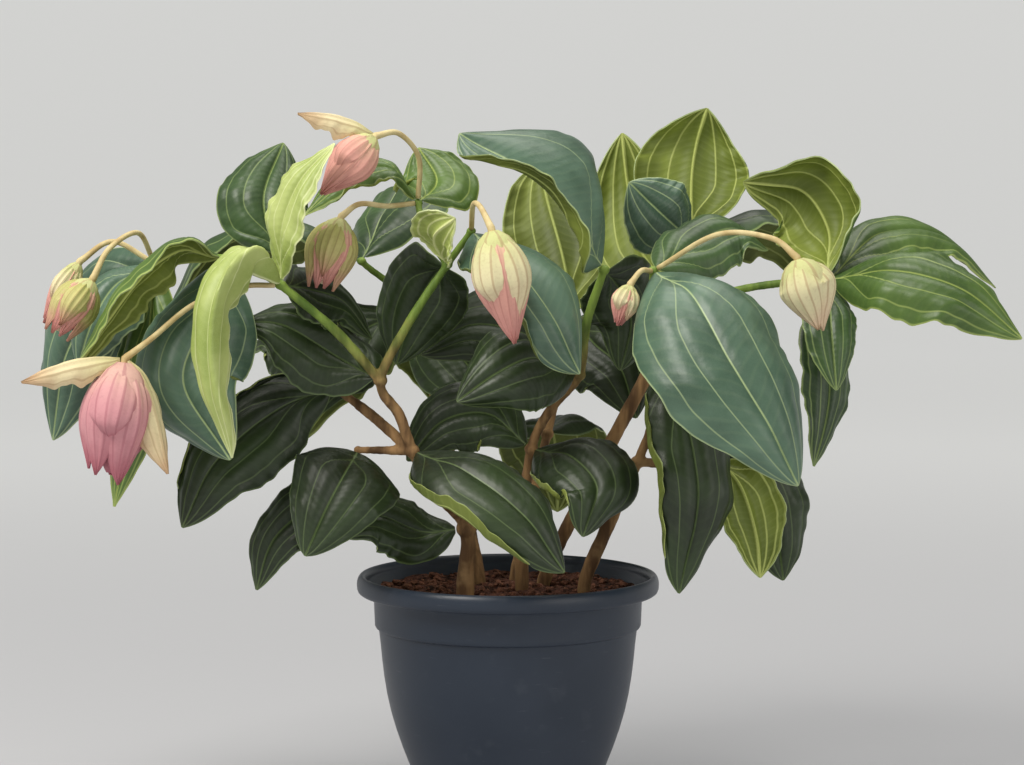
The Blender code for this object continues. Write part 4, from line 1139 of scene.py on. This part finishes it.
class MEDINILLA_OT_buds(bpy.types.Operator):
    """Makes each bud: a stalk, a slim core and ribbed bracts in layers round it."""

    bl_idname = "medinilla.buds"
    bl_label = "Buds"

    def execute(self, context):
        look = context.scene.medinilla_bud
        stalk = stalk_paint()
        finishes = {name: bract_paint(name, *colours) for name, colours in BRACT_COLOURS.items()}
        for name, (node, stalk_way, points_to, length, width, bracts) in BUDS.items():
            line = through(leave_node(node, stalk_way), 12)
            axis = Vector(points_to).normalized()
            neck = line[-1]
            length *= CM
            width *= CM
            run = [*line, neck + axis * 0.12 * length]
            radii = [look.stalk_radius * (1 + 0.6 * (i / len(run)) ** 6) for i in range(len(run))]
            bar = add_tube(name + "_stalk", run, radii)
            bar.data.materials.append(stalk)
            line = [neck + axis * length * (0.03 + 0.85 * i / CORE_STEPS) for i in range(CORE_STEPS + 1)]
            radii = [width * 0.44 * math.sin(math.pi * (0.06 + 0.9 * (i / CORE_STEPS) ** 0.75)) ** 0.8
                     for i in range(CORE_STEPS + 1)]
            core = add_tube(name + "_core", line, radii, 8)
            core.data.materials.append(finishes["bract_pink" if bracts is OPEN_BLOOM else "bract_cream"])
            pieces = [bar, core]
            right = axis.cross(Vector((0, 1, 0.05))).normalized()
            for number, bract in enumerate(bracts):
                turn, _, breadth, spread, layer = bract
                turn = math.radians(turn)
                out = right * math.cos(turn) + right.cross(axis) * math.sin(turn)
                facing = out
                bend = (-4, -34 * breadth, 0.0013)
                if spread > WIDE_SPREAD:
                    facing = out - 0.8 * axis + Vector((0, -0.8, 0))
                    bend = (-4, -46, 0.0030)
                midrib = bract_way(neck, axis, out, length, width, bract)
                blade = add_blade(f"{name}_bract_{number}", midrib, facing, breadth * width, bend, "bract",
                                  BRACT_GRID, look.rib, ribs=BRACT_RIBS)
                thicken(blade, look.thickness, [finishes[bract_colour(bracts, spread, layer)]])
                pieces.append(blade)
            bud = join(pieces, name + "_bracts")
            place_piece(bud, name, "pink_bracts" if bracts is OPEN_BLOOM else "cream_bracts")
        return {"FINISHED"}


class MEDINILLA_OT_stage(bpy.types.Operator):
    """Lays a pale round paper sweep and sets soft studio light and the camera."""

    bl_idname = "medinilla.stage"
    bl_label = "Stage"

    def execute(self, context):
        look = context.scene.medinilla_stage
        sweep = add_grid("paper_sweep", 96, 96)
        quarter = SWEEP_CURVE * math.pi / 2
        for vertex in sweep.data.vertices:
            square = max(abs(vertex.co.x), abs(vertex.co.y)) * 2
            run = square * (SWEEP_FLAT + quarter + SWEEP_RISE)
            turn = min(max(run - SWEEP_FLAT, 0) / SWEEP_CURVE, math.pi / 2)
            wall = max(run - SWEEP_FLAT - quarter, 0)
            spread = min(run, SWEEP_FLAT) + SWEEP_CURVE * math.sin(turn)
            away = Vector((vertex.co.x, vertex.co.y, 0)).normalized() * spread
            vertex.co = away + Vector((0, 0, SWEEP_CURVE * (1 - math.cos(turn)) + wall))
        sweep.data.materials.append(stage_paint(tuple(look.paper)))
        select_only(sweep)
        bpy.ops.object.shade_smooth()
        for name, (place, size, share) in LIGHTS.items():
            bpy.ops.object.light_add(type="AREA", location=place)
            lamp = context.object
            lamp.name = "light_" + name
            lamp.data.energy = look.key_power * share
            lamp.data.size = size
            lamp.data.color = LIGHT_COLOUR
            lamp.rotation_euler = (Vector(LIGHT_AIM) - Vector(place)).to_track_quat("-Z", "Y").to_euler()
        world = bpy.data.worlds.new("studio")
        context.scene.world = world
        world.use_nodes = True
        sky = world.node_tree.nodes["Background"]
        sky.inputs["Color"].default_value = SKY_COLOUR
        sky.inputs["Strength"].default_value = SKY_STRENGTH
        bpy.ops.object.camera_add(location=CAMERA_PLACE, rotation=(math.radians(90 - CAMERA_PITCH), 0, 0))
        camera = context.object
        camera.data.lens = CAMERA_LENS
        camera.data.sensor_width = SENSOR_WIDTH
        context.scene.camera = camera
        context.scene.view_settings.view_transform = "Standard"
        return {"FINISHED"}


OPERATORS = (MEDINILLA_OT_pot, MEDINILLA_OT_peat, MEDINILLA_OT_stems, MEDINILLA_OT_leaves, MEDINILLA_OT_buds,
             MEDINILLA_OT_stage)
GROUPS = {"medinilla_pot": PotProperties, "medinilla_leaf": LeafProperties, "medinilla_bud": BudProperties,
          "medinilla_stems": StemProperties, "medinilla_stage": StageProperties}


class VIEW3D_PT_medinilla(bpy.types.Panel):
    """Lists the plant's pieces and their settings."""

    bl_label = "Medinilla"
    bl_space_type = "VIEW_3D"
    bl_region_type = "UI"
    bl_category = "Medinilla"

    def draw(self, context):
        for operator in OPERATORS:
            self.layout.operator(operator.bl_idname)
        for group in GROUPS:
            settings = getattr(context.scene, group)
            for key in settings.bl_rna.properties.keys():
                if key not in ("rna_type", "name"):
                    self.layout.prop(settings, key)


# Registration and the run itself
def register():
    for group, kind in GROUPS.items():
        bpy.utils.register_class(kind)
        setattr(bpy.types.Scene, group, bpy.props.PointerProperty(type=kind))
    for kind in (*OPERATORS, VIEW3D_PT_medinilla):
        bpy.utils.register_class(kind)


def unregister():
    for kind in (VIEW3D_PT_medinilla, *reversed(OPERATORS)):
        bpy.utils.unregister_class(kind)
    for group, kind in GROUPS.items():
        delattr(bpy.types.Scene, group)
        bpy.utils.unregister_class(kind)


def main():
    register()
    bpy.ops.medinilla.stage()
    bpy.ops.medinilla.pot()
    bpy.ops.medinilla.peat()
    bpy.ops.medinilla.stems()
    bpy.ops.medinilla.leaves()
    bpy.ops.medinilla.buds()


if __name__ == "__main__":
    main()
